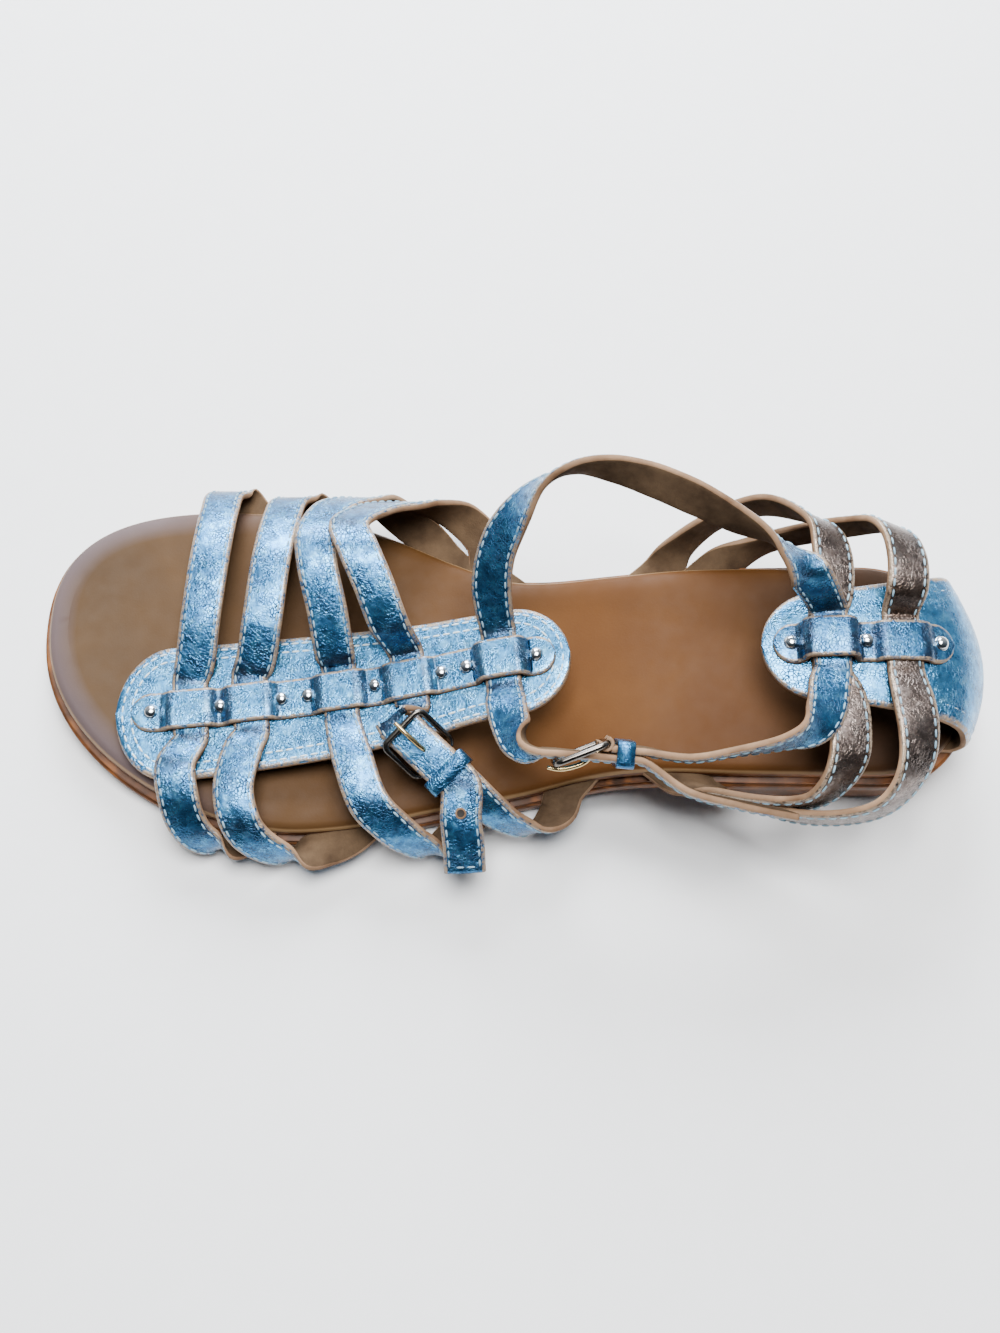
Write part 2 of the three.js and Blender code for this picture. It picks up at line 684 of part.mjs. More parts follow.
// The two quarter straps run from the heel strip down to the waist on both sides.
const quarterStraps = [
  {
    outer: [0.31, -50, [[-0.08, 0.5, 0.99, 0], [-0.1, 0.76, 0.98, 5], [-0.08, 1.0, 0.93, 15],
      [0.0, 1.2, 0.76, 40], [0.12, 1.3, 0.52, 62], [0.42, 1.28, 0.26, 75], [0.75, 1.15, 0.08, 50]]],
    inner: [0.32, -50, [[-0.05, 0.46, 1.02, 5], [-0.06, 0.8, 1.08, 12], [-0.02, 1.06, 1.05, 30],
      [0.15, 1.26, 0.95, 60], [0.32, 1.38, 0.8, 75], [0.5, 1.4, 0.6, 80], [0.7, 1.34, 0.36, 75],
      [0.88, 1.2, 0.12, 45]]],
  },
  {
    outer: [0.3, -50, [[-0.01, 0.56, 1.1, 5], [-0.02, 0.82, 1.08, 12], [-0.01, 1.04, 0.98, 25],
      [0.04, 1.24, 0.82, 45], [0.12, 1.37, 0.62, 60], [0.25, 1.42, 0.42, 70], [0.5, 1.38, 0.2, 75],
      [0.78, 1.2, 0.05, 50]]],
    inner: [0.26, -50, [[-0.02, 0.42, 1.24, 5], [-0.03, 0.68, 1.3, 10], [0.0, 0.92, 1.24, 22],
      [0.07, 1.08, 1.05, 45], [0.22, 1.17, 0.74, 65], [0.42, 1.22, 0.42, 75], [0.7, 1.2, 0.14, 60]]],
  },
];

const quarterKnots = quarterStraps.map((each, i) => [
  ...strapEnd(heelCrossings[i], LATERAL, each.outer).reverse(),
  ...heelCrossings[i],
  ...strapEnd(heelCrossings[i], MEDIAL, each.inner),
]);

const heelStripShape = { thickness: panelThickness, rounds: [0, 14], columns: heelColumns, step: 5.5 };

function heelUpper() {
  const passes = [
    [frontQuarterShare, pressedLift + freeLift, 3 * clearance],
    [rearQuarterShare, pressedLift],
  ];
  const whole = joined([
    ribbon(heelKnots, heelStripShape),
    ...quarterKnots.map(strap),
    keeperBand(heelKnots, heelCurve, heelBandShares, passes),
  ]);
  return without(whole, rivetSeats(heelKnots, heelCurve, heelRivetShares));
}

// The ankle strap: from its buckle back through the heel keeper, round the inner side in a
// standing loop, through the vamp's last keeper and down to the buckle again

const ankleHeight = crossHeight + strapThickness + clearance;
const ankleBackKnots = crossKnots(heelKnots, heelCurve, frontQuarterShare, ankleHeight);
const ankleFrontKnots = crossKnots(vampKnots, vampCurve, ankleShare, freeHeight);
const ankleBack = ankleBackKnots[2].at;
const ankleFront = ankleFrontKnots[2].at;
const ankleMiddle = ankleFront.clone().add(vector(-19.5, 30.2, 14.6));
const ankleBasis = buckleBasis(ankleMiddle, vector(-1, 0.08, -0.04), vector(0, 0.35, 1));
const ankleLoopPlace = barPlace + 4.9;

// run: from one end of the stretch to the other along the foot; reach: across; rise; lean; roll
const ankleRear = [[0.42, 1.04, 0.1, 90, 15], [0.6, 1.0, 0.3, 85, 12], [0.78, 0.93, 0.42, 70, 5],
  [0.88, 0.83, 0.36, 45], [0.95, 0.64, 0.2, 20], [0.98, 0.4, 0.06, 8]];
const ankleInner = [[0.09, 0.34, 0.42, 20, 0], [0.18, 0.5, 0.55, 50, 0],
  [0.31, 0.62, 0.75, 75, 15], [0.44, 0.74, 0.9, 88, 22], [0.56, 0.84, 1.0, 90, 20], [0.67, 0.92, 1.03, 92, 5],
  [0.78, 0.96, 1.0, 95, -20], [0.87, 0.92, 0.9, 105, -25], [0.95, 0.8, 0.72, 125, -15],
  [1.01, 0.64, 0.5, 145, 0],
  [1.03, 0.44, 0.28, 162, 0]];
const ankleOuter = [[0.06, 0.42, 0.2, 165], [0.13, 0.66, 0.45, 145], [0.24, 0.86, 0.78, 118]];
const ankleEnd = [[0.47, 0.15, -0.05], [0.7, 0.2, -0.1], [0.95, 0.23, -0.18]];

const stretch = (from, to, rows) => rows.map(([run, reach, rise, lean, roll = 0]) => knot(
  vector(mix(from.x, to.x, run), mix(to.y, from.y, reach), mix(to.z, from.z, reach) + rise * strapWidth),
  leaned(lean), roll));

const ankleLoop = ankleInner.map(([run, reach, rise, lean, roll]) => {
  const base = ankleBack.clone().lerp(ankleFront, run);
  return knot(base.add(vector(0, -reach * loopReach, rise * loopRise)), leaned(lean), roll);
});
const ankleDescent = ankleOuter.map(([run, reach, rise, lean]) => knot(
  vector(mix(ankleFront.x, ankleMiddle.x, run), mix(ankleFront.y, ankleMiddle.y, reach),
    mix(ankleFront.z, ankleMiddle.z, rise)), leaned(lean)));

const ankleKnots = [
  ...underKnots(ankleBasis, [3.5, 7, 9.5]),
  ...stretch(ankleMiddle, ankleBack, ankleRear),
  ...ankleBackKnots,
  ...ankleLoop,
  ...ankleFrontKnots.map(turned).reverse(),
  ...ankleDescent,
  ...billetKnots(ankleBasis, [-11, -6, 0, 4, 8, ankleLoopPlace, ankleLoopPlace + 4.4]),
  ...ankleEnd.map(([back, out, drop]) => knot(
    ankleMiddle.clone().add(vector(-back, out, drop).multiplyScalar(ankleTail)), sideOf(ankleBasis))),
];

// A strap that starts at a buckle: its band, the two eyes round the bar and the prong's slot
function foldedStrap(knots, basis) {
  return without(joined([strap(knots), ...foldEyes(basis)]), [prongRoom(basis), prongHole(basis)]);
}

// Pieces

const finishes = {
  foil: { color: 0x6fa8c9, roughness: 0.35, metalness: 0.7 },
  footbed: { color: 0x80654f, roughness: 0.5, metalness: 0 },
  outsole: { color: 0x6b4527, roughness: 0.6, metalness: 0 },
  nickel: { color: 0x8b8a88, roughness: 0.25, metalness: 1 },
};

const sandal = new THREE.Group();

function addPiece(name, geometry, finish) {
  const mesh = new THREE.Mesh(geometry, new THREE.MeshStandardMaterial(finishes[finish]));
  mesh.name = name;
  sandal.add(mesh);
}

const grown = (knots, shape) => solidOf(ribbon(knots, { ...shape, grow: clearance }));
const allRooms = [
  ...[...frontStraps, instepFold, ...quarterKnots].map((knots) => grown(knots, strapShape)),
  grown(heelKnots, heelStripShape),
];

addPiece("outsole", skinOf(without(solidOf(outsoleLoft()), allRooms)), "outsole");
addPiece("heel_block", heelBlockLoft(), "outsole");
addPiece("footbed", skinOf(without(solidOf(footbedLoft()), allRooms)), "footbed");
addPiece("front_upper", skinOf(frontUpper()), "foil");
addPiece("heel_upper", skinOf(heelUpper()), "foil");
addPiece("ankle_strap", skinOf(foldedStrap(ankleKnots, ankleBasis)), "foil");
addPiece("instep_buckle_strap", skinOf(foldedStrap(instepFold, instepBasis)), "foil");
addPiece("instep_loop", leatherLoop(instepBasis, instepLoopPlace), "foil");
addPiece("ankle_loop", leatherLoop(ankleBasis, ankleLoopPlace), "foil");
addPiece("instep_buckle", buckleFrame(instepBasis), "nickel");
addPiece("ankle_buckle", buckleFrame(ankleBasis), "nickel");
addPiece("instep_prong", buckleProng(instepBasis), "nickel");
addPiece("ankle_prong", buckleProng(ankleBasis), "nickel");
vampRivetShares.forEach((share, i) => {
  addPiece(`vamp_rivet_${i + 1}`, rivet(vampKnots, vampCurve, share), "nickel");
});
heelRivetShares.forEach((share, i) => {
  addPiece(`heel_rivet_${i + 1}`, rivet(heelKnots, heelCurve, share), "nickel");
});

export default sandal;
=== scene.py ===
# %% [markdown]
# # A flat gladiator sandal for the left foot
# The shape is rebuilt as smooth leather bands on the same lines as the CAD part: each strap is a
# flat band carried along a curve, so its real section (foil face, raw edge, suede back) can be
# drawn, which a coarse solid can't show. Sizes are written in millimetres and scaled once, where
# the meshes are made. +X runs from heel to toe, +Y to the outer side of the foot, +Z up.

# %% Setup
from functools import partial

import bmesh
import bpy
import numpy as np
from mathutils import Matrix, Vector


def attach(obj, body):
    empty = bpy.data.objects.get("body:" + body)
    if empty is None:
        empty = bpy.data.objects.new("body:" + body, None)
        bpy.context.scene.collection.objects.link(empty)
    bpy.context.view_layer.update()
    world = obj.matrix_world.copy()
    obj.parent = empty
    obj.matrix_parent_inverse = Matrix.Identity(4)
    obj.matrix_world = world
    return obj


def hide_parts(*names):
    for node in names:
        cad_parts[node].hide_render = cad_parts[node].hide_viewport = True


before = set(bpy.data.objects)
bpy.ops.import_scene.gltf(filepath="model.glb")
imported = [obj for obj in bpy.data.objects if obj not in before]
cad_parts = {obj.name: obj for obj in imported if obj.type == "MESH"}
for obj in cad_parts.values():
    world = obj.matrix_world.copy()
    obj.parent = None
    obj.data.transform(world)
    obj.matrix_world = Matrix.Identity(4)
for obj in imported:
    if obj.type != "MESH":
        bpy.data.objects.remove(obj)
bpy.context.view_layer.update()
MM = 0.001
print("nodes", len(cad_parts))


# %% Colour and node helpers
def paint(text):
    """A hex sRGB colour as linear light: c/12.92 below 0.04045, else ((c+0.055)/1.055)^2.4."""
    parts = np.array([int(text[i:i + 2], 16) for i in (1, 3, 5)]) / 255
    linear = np.where(parts <= 0.04045, parts / 12.92, ((parts + 0.055) / 1.055) ** 2.4)
    return (*linear.tolist(), 1.0)


def fill(node, inputs):
    """Sets a node's inputs: a socket is linked, a hex text is a colour, a number is itself."""
    for name, value in inputs.items():
        if isinstance(value, bpy.types.NodeSocket):
            node.id_data.links.new(value, node.inputs[name])
        else:
            node.inputs[name].default_value = paint(value) if isinstance(value, str) else value


def add(tree, kind, inputs, out=0, stops=(), **settings):
    """Adds a node with its settings, inputs and, for a ramp, its stops (place, colour or grey
    level), and gives one of its outputs."""
    made = tree.nodes.new("ShaderNode" + kind)
    for name, value in settings.items():
        setattr(made, name, value)
    fill(made, inputs)
    if stops:
        elements = made.color_ramp.elements
        elements[0].position, elements[1].position = stops[0][0], stops[-1][0]
        for place, _ in stops[1:-1]:
            elements.new(place)
        for element, (_, tone) in zip(elements, stops):
            element.color = paint(tone) if isinstance(tone, str) else (tone, tone, tone, 1)
    return made.outputs[out]


def blank_material(name):
    """A new material, the function that adds its nodes, its surface shader, and the inputs of a
    soft noise in object coordinates; a Scale of 1000 / n makes its spots about n mm wide."""
    made = bpy.data.materials.new(name)
    made.use_nodes = True
    node = partial(add, made.node_tree)
    spots = {"Vector": node("TexCoord", {}, "Object"), "Detail": 3.0, "Roughness": 0.55}
    return made, node, made.node_tree.nodes["Principled BSDF"], spots


TIMES = {"operation": "MULTIPLY", "use_clamp": True}
PLUS = {"operation": "ADD", "use_clamp": True}
COLOUR_MIX = {"out": 2, "data_type": "RGBA"}
print("helpers ready, mid grey is", round(paint("#808080")[0], 3))


# %% [markdown]
# ## Foil leather
# A thin metallic foil pressed on goat leather. It could be one flat metal colour, but the real
# foil is crackled: it breaks into small plates along creases, is dark in the cracks, pale where
# it is rubbed at the edges and bronze where the foil has gone. A painted shade also darkens it
# where the strap bends. So the colour comes from blotches of a few millimetres, cell cracks of
# about a millimetre, and numbers stored on the bands.

# %% Foil leather
def foil_leather(name, deep, middle, light, worn):
    """Foil that is deep in the cracks, darkened by a painted shade (the colour given as worn) where
    the strap bends, and rubbed away at its rims.
    """
    made, node, shader, spots = blank_material(name)
    place = spots["Vector"]
    warp = node("TexNoise", {"Vector": place, "Scale": 700, "Detail": 2.0}, "Color")
    bent_place = node("Mix", {0: 0.0012, 4: place, 5: warp}, 1, data_type="VECTOR")
    cells = node("TexVoronoi", {"Vector": bent_place, "Scale": 1000 / 0.9}, "Distance",
                 feature="DISTANCE_TO_EDGE")
    plates = node("TexVoronoi", {"Vector": bent_place, "Scale": 1000 / 1.8}, "Color", feature="F1")
    cracks = node("ValToRGB", {0: cells}, stops=[(0.0, 1.0), (0.06, 0.5), (0.16, 0.0)])
    patches = node("ValToRGB", {0: node("TexNoise", {**spots, "Scale": 1000 / 7})},
                   stops=[(0.36, 0.15), (0.62, 1.0)])
    crack_share = node("Math", {0: cracks, 1: patches}, **TIMES)
    blotch = node("TexNoise", {**spots, "Scale": 1000 / 2.6, "Detail": 6.0, "Roughness": 0.7})
    foil = node("ValToRGB", {0: blotch}, stops=[(0.2, deep), (0.5, middle), (0.82, light)])
    plate_share = node("Math", {0: node("RGBToBW", {0: plates}), 1: 0.4}, **TIMES)
    foil = node("Mix", {0: plate_share, 6: foil, 7: light}, blend_type="SOFT_LIGHT", **COLOUR_MIX)
    stored = []
    # bend carries a painted shade where the strap bends; rim marks real rubbing at the edges
    for number, size_mm, least in (("bend", 1.6, 0.35), ("rim", 1.2, 0.42)):
        broken = node("TexNoise", {**spots, "Scale": 1000 / size_mm})
        stored.append(node("Math", {0: node("Attribute", {}, "Fac", attribute_name=number),
                                    1: node("Math", {0: broken, 1: least}, **PLUS)}, **TIMES))
    bend_shade, rim = stored
    rubbed = node("ValToRGB", {0: rim}, stops=[(0.72, 0.0), (0.96, 1.0)])
    # deep fills the cracks, the colour given as worn is a painted shade where the strap bends, and a pale
    # taupe is real rubbing at the rims
    for share, colour in ((node("Math", {0: crack_share, 1: 0.9}, **TIMES), deep),
                          (node("Math", {0: bend_shade, 1: 0.6}, **TIMES), worn), (rubbed, "#8d7a66")):
        foil = node("Mix", {0: share, 6: foil, 7: colour}, **COLOUR_MIX)
    gone = node("Math", {0: node("Math", {0: rubbed, 1: 0.8}, **TIMES),
                         1: node("Math", {0: crack_share, 1: 0.35}, **TIMES)}, **PLUS)
    gloss = node("TexNoise", {**spots, "Scale": 1000 / 3})
    wrinkles = node("TexNoise", {**spots, "Scale": 1000 / 2.4, "Detail": 4.0, "Roughness": 0.6})
    height = node("Mix", {0: crack_share, 6: wrinkles, 7: "#000000"}, **COLOUR_MIX)
    fill(shader, {"Base Color": foil,
                  "Metallic": node("ValToRGB", {0: gone}, stops=[(0.0, 0.92), (1.0, 0.15)]),
                  "Roughness": node("ValToRGB", {0: gloss}, stops=[(0.3, 0.2), (0.7, 0.34)]),
                  "Normal": node("Bump", {"Height": height, "Distance": 0.2 * MM, "Strength": 0.7})})
    return made


# the last colour of each foil is the painted shade laid where a strap bends
foil_pale = foil_leather("foil_leather_pale", "#1e3c59", "#4b8ab6", "#80c0e0", "#3a2d27")
foil_blue = foil_leather("foil_leather_blue", "#182a40", "#3d6f97", "#6caed0", "#33261f")
foil_pewter = foil_leather("foil_leather_pewter", "#2e2724", "#6b605b", "#a0968f", "#3d2a1a")
print("foil leathers", len(bpy.data.materials))


# %% [markdown]
# ## Other finishes
# Suede is the raw back of the leather; the cut edge is paler. Sole leather is smooth and brown,
# with a painted sheen round the toe and a painted shade at the heel; the outsole's edge shows its
# stacked layers. Metal fittings are dark nickel and pale gold. Each is one material with a fine
# grain in real millimetres.

# %% Other finishes
def plain_material(name, colours, rough, grain_mm, depth_mm, metal=0.0, sheen=0.5):
    """A material whose colour wanders between two colours in patches of about 9 mm and whose
    grain is grain_mm wide."""
    made, node, shader, spots = blank_material(name)
    patches = node("TexNoise", {**spots, "Scale": 1000 / 9, "Detail": 4.0})
    colour = node("ValToRGB", {0: patches}, stops=[(0.3, colours[0]), (0.7, colours[1])])
    grain = node("TexNoise", {**spots, "Scale": 1000 / grain_mm})
    relief = node("Bump", {"Height": grain, "Distance": depth_mm * MM, "Strength": 0.6})
    fill(shader, {"Base Color": colour, "Roughness": rough, "Metallic": metal,
                  "Specular IOR Level": sheen, "Normal": relief})
    return made


suede = plain_material("suede_back", ("#3a2c20", "#5f4c39"), 0.95, 0.5, 0.2, sheen=0.1)
raw_edge = plain_material("raw_leather_edge", ("#604733", "#92755b"), 0.8, 0.6, 0.1, sheen=0.15)
thread = plain_material("stitch_thread", ("#6f8fa2", "#94b0be"), 0.6, 0.3, 0.05, sheen=0.2)
pale_thread = plain_material("pale_stitch_thread", ("#c3d6de", "#e4eef2"), 0.6, 0.3, 0.05, sheen=0.2)
nickel = plain_material("polished_nickel", ("#d6d8d9", "#e6e7e7"), 0.14, 2.0, 0.005, 1.0)
dark_nickel = plain_material("dark_nickel", ("#4d4945", "#6e6861"), 0.22, 1.5, 0.01, 1.0)
pale_gold = plain_material("pale_gold", ("#b59a68", "#d4bd8c"), 0.25, 1.5, 0.01, 1.0)
# a dark colour painted as the shade inside punched holes
hole_shade = plain_material("painted_hole_shade", ("#1d1814", "#2b231c"), 0.9, 0.5, 0.02)


def footbed_leather():
    """Brown sole leather: a painted sheen round the toe, a painted shade at the heel, and a light
    line on the edge's shoulder that is the board's pale edge and a painted highlight.
    """
    made, node, shader, spots = blank_material("footbed_leather")
    along, inset = (node("Attribute", {}, "Fac", attribute_name=n) for n in ("along", "inset"))
    patches = node("TexNoise", {**spots, "Scale": 1000 / 26, "Detail": 4.0})
    colour = node("ValToRGB", {0: patches},
                  stops=[(0.3, "#3f2812"), (0.55, "#4e3419"), (0.75, "#5d3f1f")])
    # along the sole the tone runs from a painted shade at the heel to brown further forward
    tone = node("ValToRGB", {0: along}, stops=[(0.0, "#2c1706"), (0.4, "#5a3413"),
                                               (0.62, "#4c331a"), (0.95, "#473725")])
    # a painted lavender sheen in a ring a few millimetres inside the edge round the toe
    toe = node("ValToRGB", {0: along}, stops=[(0.74, 0.0), (0.9, 1.0)])
    ring = node("ValToRGB", {0: inset}, stops=[(0.05, 1.0), (0.1, 0.6), (0.16, 0.0)])
    toe_sheen = node("Math", {0: toe, 1: ring}, **TIMES)
    # a light line on the edge's rounded shoulder: the board's pale edge and a painted highlight on its roll
    rim = node("ValToRGB", {0: inset}, stops=[(0.0, 1.0), (0.012, 1.0), (0.02, 0.0)])
    # a painted shade that darkens the heel under the heel strip
    heel = node("ValToRGB", {0: along}, stops=[(0.05, 1.0), (0.24, 0.0)])
    colour = node("Mix", {0: 0.6, 6: colour, 7: tone}, **COLOUR_MIX)
    # the painted toe sheen, the light shoulder line (pale board edge and painted highlight) and the painted
    # heel shade are laid on the leather
    for where, most, layer in ((toe_sheen, 0.25, "#7d7888"), (rim, 0.6, "#a3835d"), (heel, 0.75, "#2c1d13")):
        share = node("Math", {0: where, 1: most}, **TIMES)
        colour = node("Mix", {0: share, 6: colour, 7: layer}, **COLOUR_MIX)
    worn = node("TexNoise", {**spots, "Scale": 1000 / 5})
    grain = node("TexNoise", {**spots, "Scale": 1000 / 0.7})
    fill(shader, {"Base Color": colour, "Specular IOR Level": 0.12,
                  "Roughness": node("ValToRGB", {0: worn}, stops=[(0.3, 0.5), (0.7, 0.64)]),
                  "Normal": node("Bump", {"Height": grain, "Distance": 0.06 * MM, "Strength": 0.5})})
    return made


def stacked_leather():
    """The sole's edge: thin brown layers about 1.4 mm thick, burnished."""
    made, node, shader, spots = blank_material("stacked_leather_edge")
    up = node("SeparateXYZ", {0: spots["Vector"]}, "Z")
    turns = node("Math", {0: up, 1: 1000 / 1.4 * 6.283}, operation="MULTIPLY")
    wave = node("Math", {0: node("Math", {0: turns}, operation="SINE"), 1: 0.22}, **TIMES)
    layer = node("Math", {0: wave, 1: node("TexNoise", {**spots, "Scale": 1000 / 7})}, **PLUS)
    colour = node("ValToRGB", {0: layer}, stops=[(0.3, "#35200f"), (0.55, "#5a3519"), (0.85, "#844f22")])
    fill(shader, {"Base Color": colour, "Roughness": 0.5, "Specular IOR Level": 0.3,
                  "Normal": node("Bump", {"Height": layer, "Distance": 0.12 * MM, "Strength": 0.5})})
    return made


footbed_finish = footbed_leather()
edge_finish = stacked_leather()
print("materials", len(bpy.data.materials))


# %% [markdown]
# ## Curves, tables and meshes
# A strap could be drawn with a curve object and a bevel, but its section changes along the way
# and each face of it has its own finish. A surface from arrays gives both: one row of points per
# section, with the numbers that the finishes read.

# %% Curves and meshes
EVEN_STEP = 0.5
SLIGHT_BEND = 0.05
CROWN = 0.22


def unit(vectors):
    """Rows scaled to length one."""
    return vectors / np.linalg.norm(vectors, axis=-1, keepdims=True)


def smooth_step(value):
    """t^2 (3 - 2t) of the value held to 0..1."""
    t = np.clip(value, 0, 1)
    return t * t * (3 - 2 * t)


def smooth_at(rows, column, place):
    """A smooth cubic through one column of a table whose first column is the place."""
    table = np.array(rows, float)
    x, y = table[:, 0], table[:, column]
    slopes = np.empty_like(y)
    slopes[1:-1] = (y[2:] - y[:-2]) / (x[2:] - x[:-2])
    slopes[0], slopes[-1] = (y[1] - y[0]) / (x[1] - x[0]), (y[-1] - y[-2]) / (x[-1] - x[-2])
    place = np.asarray(place, float)
    i = np.clip(np.searchsorted(x, place) - 1, 0, len(x) - 2)
    span = x[i + 1] - x[i]
    t = (place - x[i]) / span
    rise = y[i + 1] - y[i]
    a, b = slopes[i] * span, slopes[i + 1] * span
    return y[i] + t * (a + t * (3 * rise - 2 * a - b + t * (a + b - 2 * rise)))


def curve_through(points, t):
    """A smooth curve through the points whose speed follows the square root of their distances."""
    count = len(points)
    p = np.vstack([2 * points[0] - points[1], points, 2 * points[-1] - points[-2]])
    place = np.clip(np.asarray(t) * (count - 1), 0, count - 1 - 1e-7)
    i = place.astype(int)
    w = (place - i)[:, None]
    x0, x1, x2, x3 = p[i], p[i + 1], p[i + 2], p[i + 3]
    d0, d1, d2 = (np.maximum(np.linalg.norm(b - a, axis=1), 1e-6)[:, None] ** 0.5
                  for a, b in ((x0, x1), (x1, x2), (x2, x3)))
    t1 = ((x1 - x0) / d0 - (x2 - x0) / (d0 + d1) + (x2 - x1) / d1) * d1
    t2 = ((x2 - x1) / d1 - (x3 - x1) / (d1 + d2) + (x3 - x2) / d2) * d1
    return x1 + w * (t1 + w * (3 * (x2 - x1) - 2 * t1 - t2 + w * (2 * (x1 - x2) + t1 + t2)))


def run_along(line):
    """The distance run along a line at each of its points."""
    return np.concatenate([[0], np.cumsum(np.linalg.norm(np.diff(line, axis=0), axis=1))])


def columns_at(place, keys, rows):
    """Each column of the rows, read at places between the keys."""
    return np.stack([np.interp(place, keys, column) for column in rows.T], axis=1)


def softened(values, reach):
    """Rows averaged over a window of 2 reach + 1 rows, with the ends held."""
    kernel = np.ones(2 * reach + 1) / (2 * reach + 1)
    padded = np.pad(values, ((reach, reach), (0, 0)), mode="edge")
    return np.stack([np.convolve(column, kernel, "valid") for column in padded.T], axis=1)


def knot(at, side, roll=0.0, width=None, edges=(0, 0, 0)):
    """A control point of a band: its place, the direction of its width, a roll in degrees, a
    width of its own and a shift of its two edges."""
    return {"at": np.array(at, float), "side": np.array(side, float), "roll": roll,
            "width": width, "edges": edges}


def rounded_by(distance, radius):
    """sqrt(1 - (1 - d/r)^2): how much of its width a band keeps near a rounded end."""
    if radius <= 0:
        return np.ones_like(distance)
    return np.sqrt(np.clip(1 - np.clip(1 - distance / radius, 0, 1) ** 2, 0, 1))


def band(knots, width, thickness, rounds=(0, 0), step=0.8, soften=4):
    """The frame of a flat band along its curve: arrays of place, direction, side, face, half width
    and edge shift, one row for each section, with s the distance along it. Side, roll and width
    go from knot to knot in even rows and are softened over that many rows to each side."""
    points = np.array([k["at"] for k in knots])
    fine = np.linspace(0, 1, 80 * len(knots))
    run = run_along(curve_through(points, fine))
    length = run[-1]
    turn = np.linspace(0, np.pi / 2, 14)
    ends = [r * (1 - np.cos(turn)) for r in rounds]
    s = np.linspace(rounds[0], length - rounds[1], int(np.ceil((length - sum(rounds)) / step)) + 1)
    s = np.concatenate([ends[0][:-1], s, (length - ends[1])[::-1][1:]])
    s = np.unique(np.round(s, 5))
    even = np.arange(0, length + EVEN_STEP, EVEN_STEP)
    knot_at = np.interp(even, run, fine) * (len(knots) - 1)
    rows = np.array([[*k["side"], k["roll"], k["width"] or width, *k["edges"]] for k in knots])
    values = softened(columns_at(knot_at, np.arange(len(knots)), rows), soften)
    values = columns_at(s, even, values)
    place = curve_through(points, np.interp(s, run, fine))
    ahead, behind = (curve_through(points, np.interp(np.clip(s + d, 0, length), run, fine))
                     for d in (0.05, -0.05))
    along = unit(ahead - behind)
    side = values[:, :3]
    side = unit(side - along * np.sum(side * along, axis=1)[:, None])
    roll = np.radians(values[:, 3])[:, None]
    side = side * np.cos(roll) + np.cross(along, side) * np.sin(roll)
    face = np.cross(along, side)
    keep = rounded_by(s, rounds[0]) * rounded_by(length - s, rounds[1])
    turning = np.linalg.norm(np.gradient(along, s, axis=0), axis=1)
    return {"s": s, "length": length, "at": place, "along": along, "side": side, "face": face,
            "half": values[:, 4] / 2 * keep, "keep": keep, "edges": values[:, 5:],
            "thickness": thickness, "bend": np.clip((turning - SLIGHT_BEND) / 0.12, 0, 1)}


def on_band(the_band, s, y, lift=0.0):
    """Points at distance s along and y across a band, lift above its face, and the frame there."""
    at, along, side, face, edges = (columns_at(s, the_band["s"], the_band[name])
                                    for name in ("at", "along", "side", "face", "edges"))
    half = np.maximum(np.interp(s, the_band["s"], the_band["half"]), 1e-3)
    share = np.clip(np.abs(y) / half, 0, 1)[:, None]
    height = np.broadcast_to(the_band["thickness"] / 2 + np.asarray(lift), s.shape)[:, None]
    return at + side * np.asarray(y)[:, None] + edges * share ** 2 + face * height, along, side, face


def make_mesh(name, points, faces, materials, material_index=None, numbers=None, smooth=True):
    """A mesh object from millimetre points; numbers are stored on the points by name."""
    mesh = bpy.data.meshes.new(name)
    mesh.from_pydata((np.asarray(points) * MM).tolist(), [], [list(f) for f in faces])
    for material in materials:
        mesh.materials.append(material)
    if material_index is not None:
        mesh.polygons.foreach_set("material_index", np.asarray(material_index, np.int32))
    for key, values in (numbers or {}).items():
        stored = mesh.attributes.new(key, "FLOAT", "POINT")
        stored.data.foreach_set("value", np.asarray(values, np.float32))
    mesh.polygons.foreach_set("use_smooth", np.full(len(mesh.polygons), smooth))
    mesh.update()
    made = bpy.data.objects.new(name, mesh)
    bpy.context.scene.collection.objects.link(made)
    return made


def end_caps(rows, columns):
    """The faces that close the first and the last row of a tube."""
    return [list(range(columns))[::-1], list(range((rows - 1) * columns, rows * columns))]


def grid_faces(rows, columns, closed=True):
    """Quads between neighbouring rows of points; closed joins the last column to the first."""
    last = columns if closed else columns - 1
    r, c = np.meshgrid(np.arange(rows - 1), np.arange(last), indexing="ij")
    a = r * columns + c
    b = r * columns + (c + 1) % columns
    return np.stack([a, b, b + columns, a + columns], axis=-1).reshape(-1, 4)


def band_section(thickness, crown):
    """The band's section, once round: share across the flat, reach of the corner, height and part
    (0 foil, 1 raw edge, 2 suede). The top is domed by crown, the corners are quarter circles of
    0.42 of the thickness, the bottom is flat."""
    radius = thickness * 0.42
    top = np.linspace(-1, 1, 15)
    corner = np.radians(np.linspace(90, -90, 7))[1:-1]
    flat = np.sign(np.sin(corner)) * (thickness / 2 - radius) + radius * np.sin(corner)
    bottom = np.linspace(1, -1, 9)
    out = radius * np.cos(corner)
    rows = [(top, top * 0, thickness / 2 + crown * (1 - top ** 2), np.zeros(15)),
            (np.ones(5), out, flat, [0, 0, 1, 1, 2]),
            (bottom, bottom * 0, np.full(9, -thickness / 2), np.full(9, 2.0)),
            (-np.ones(5), -out[::-1], flat[::-1], [2, 1, 1, 0, 0])]
    return np.concatenate([np.stack(each, axis=1) for each in rows]), radius


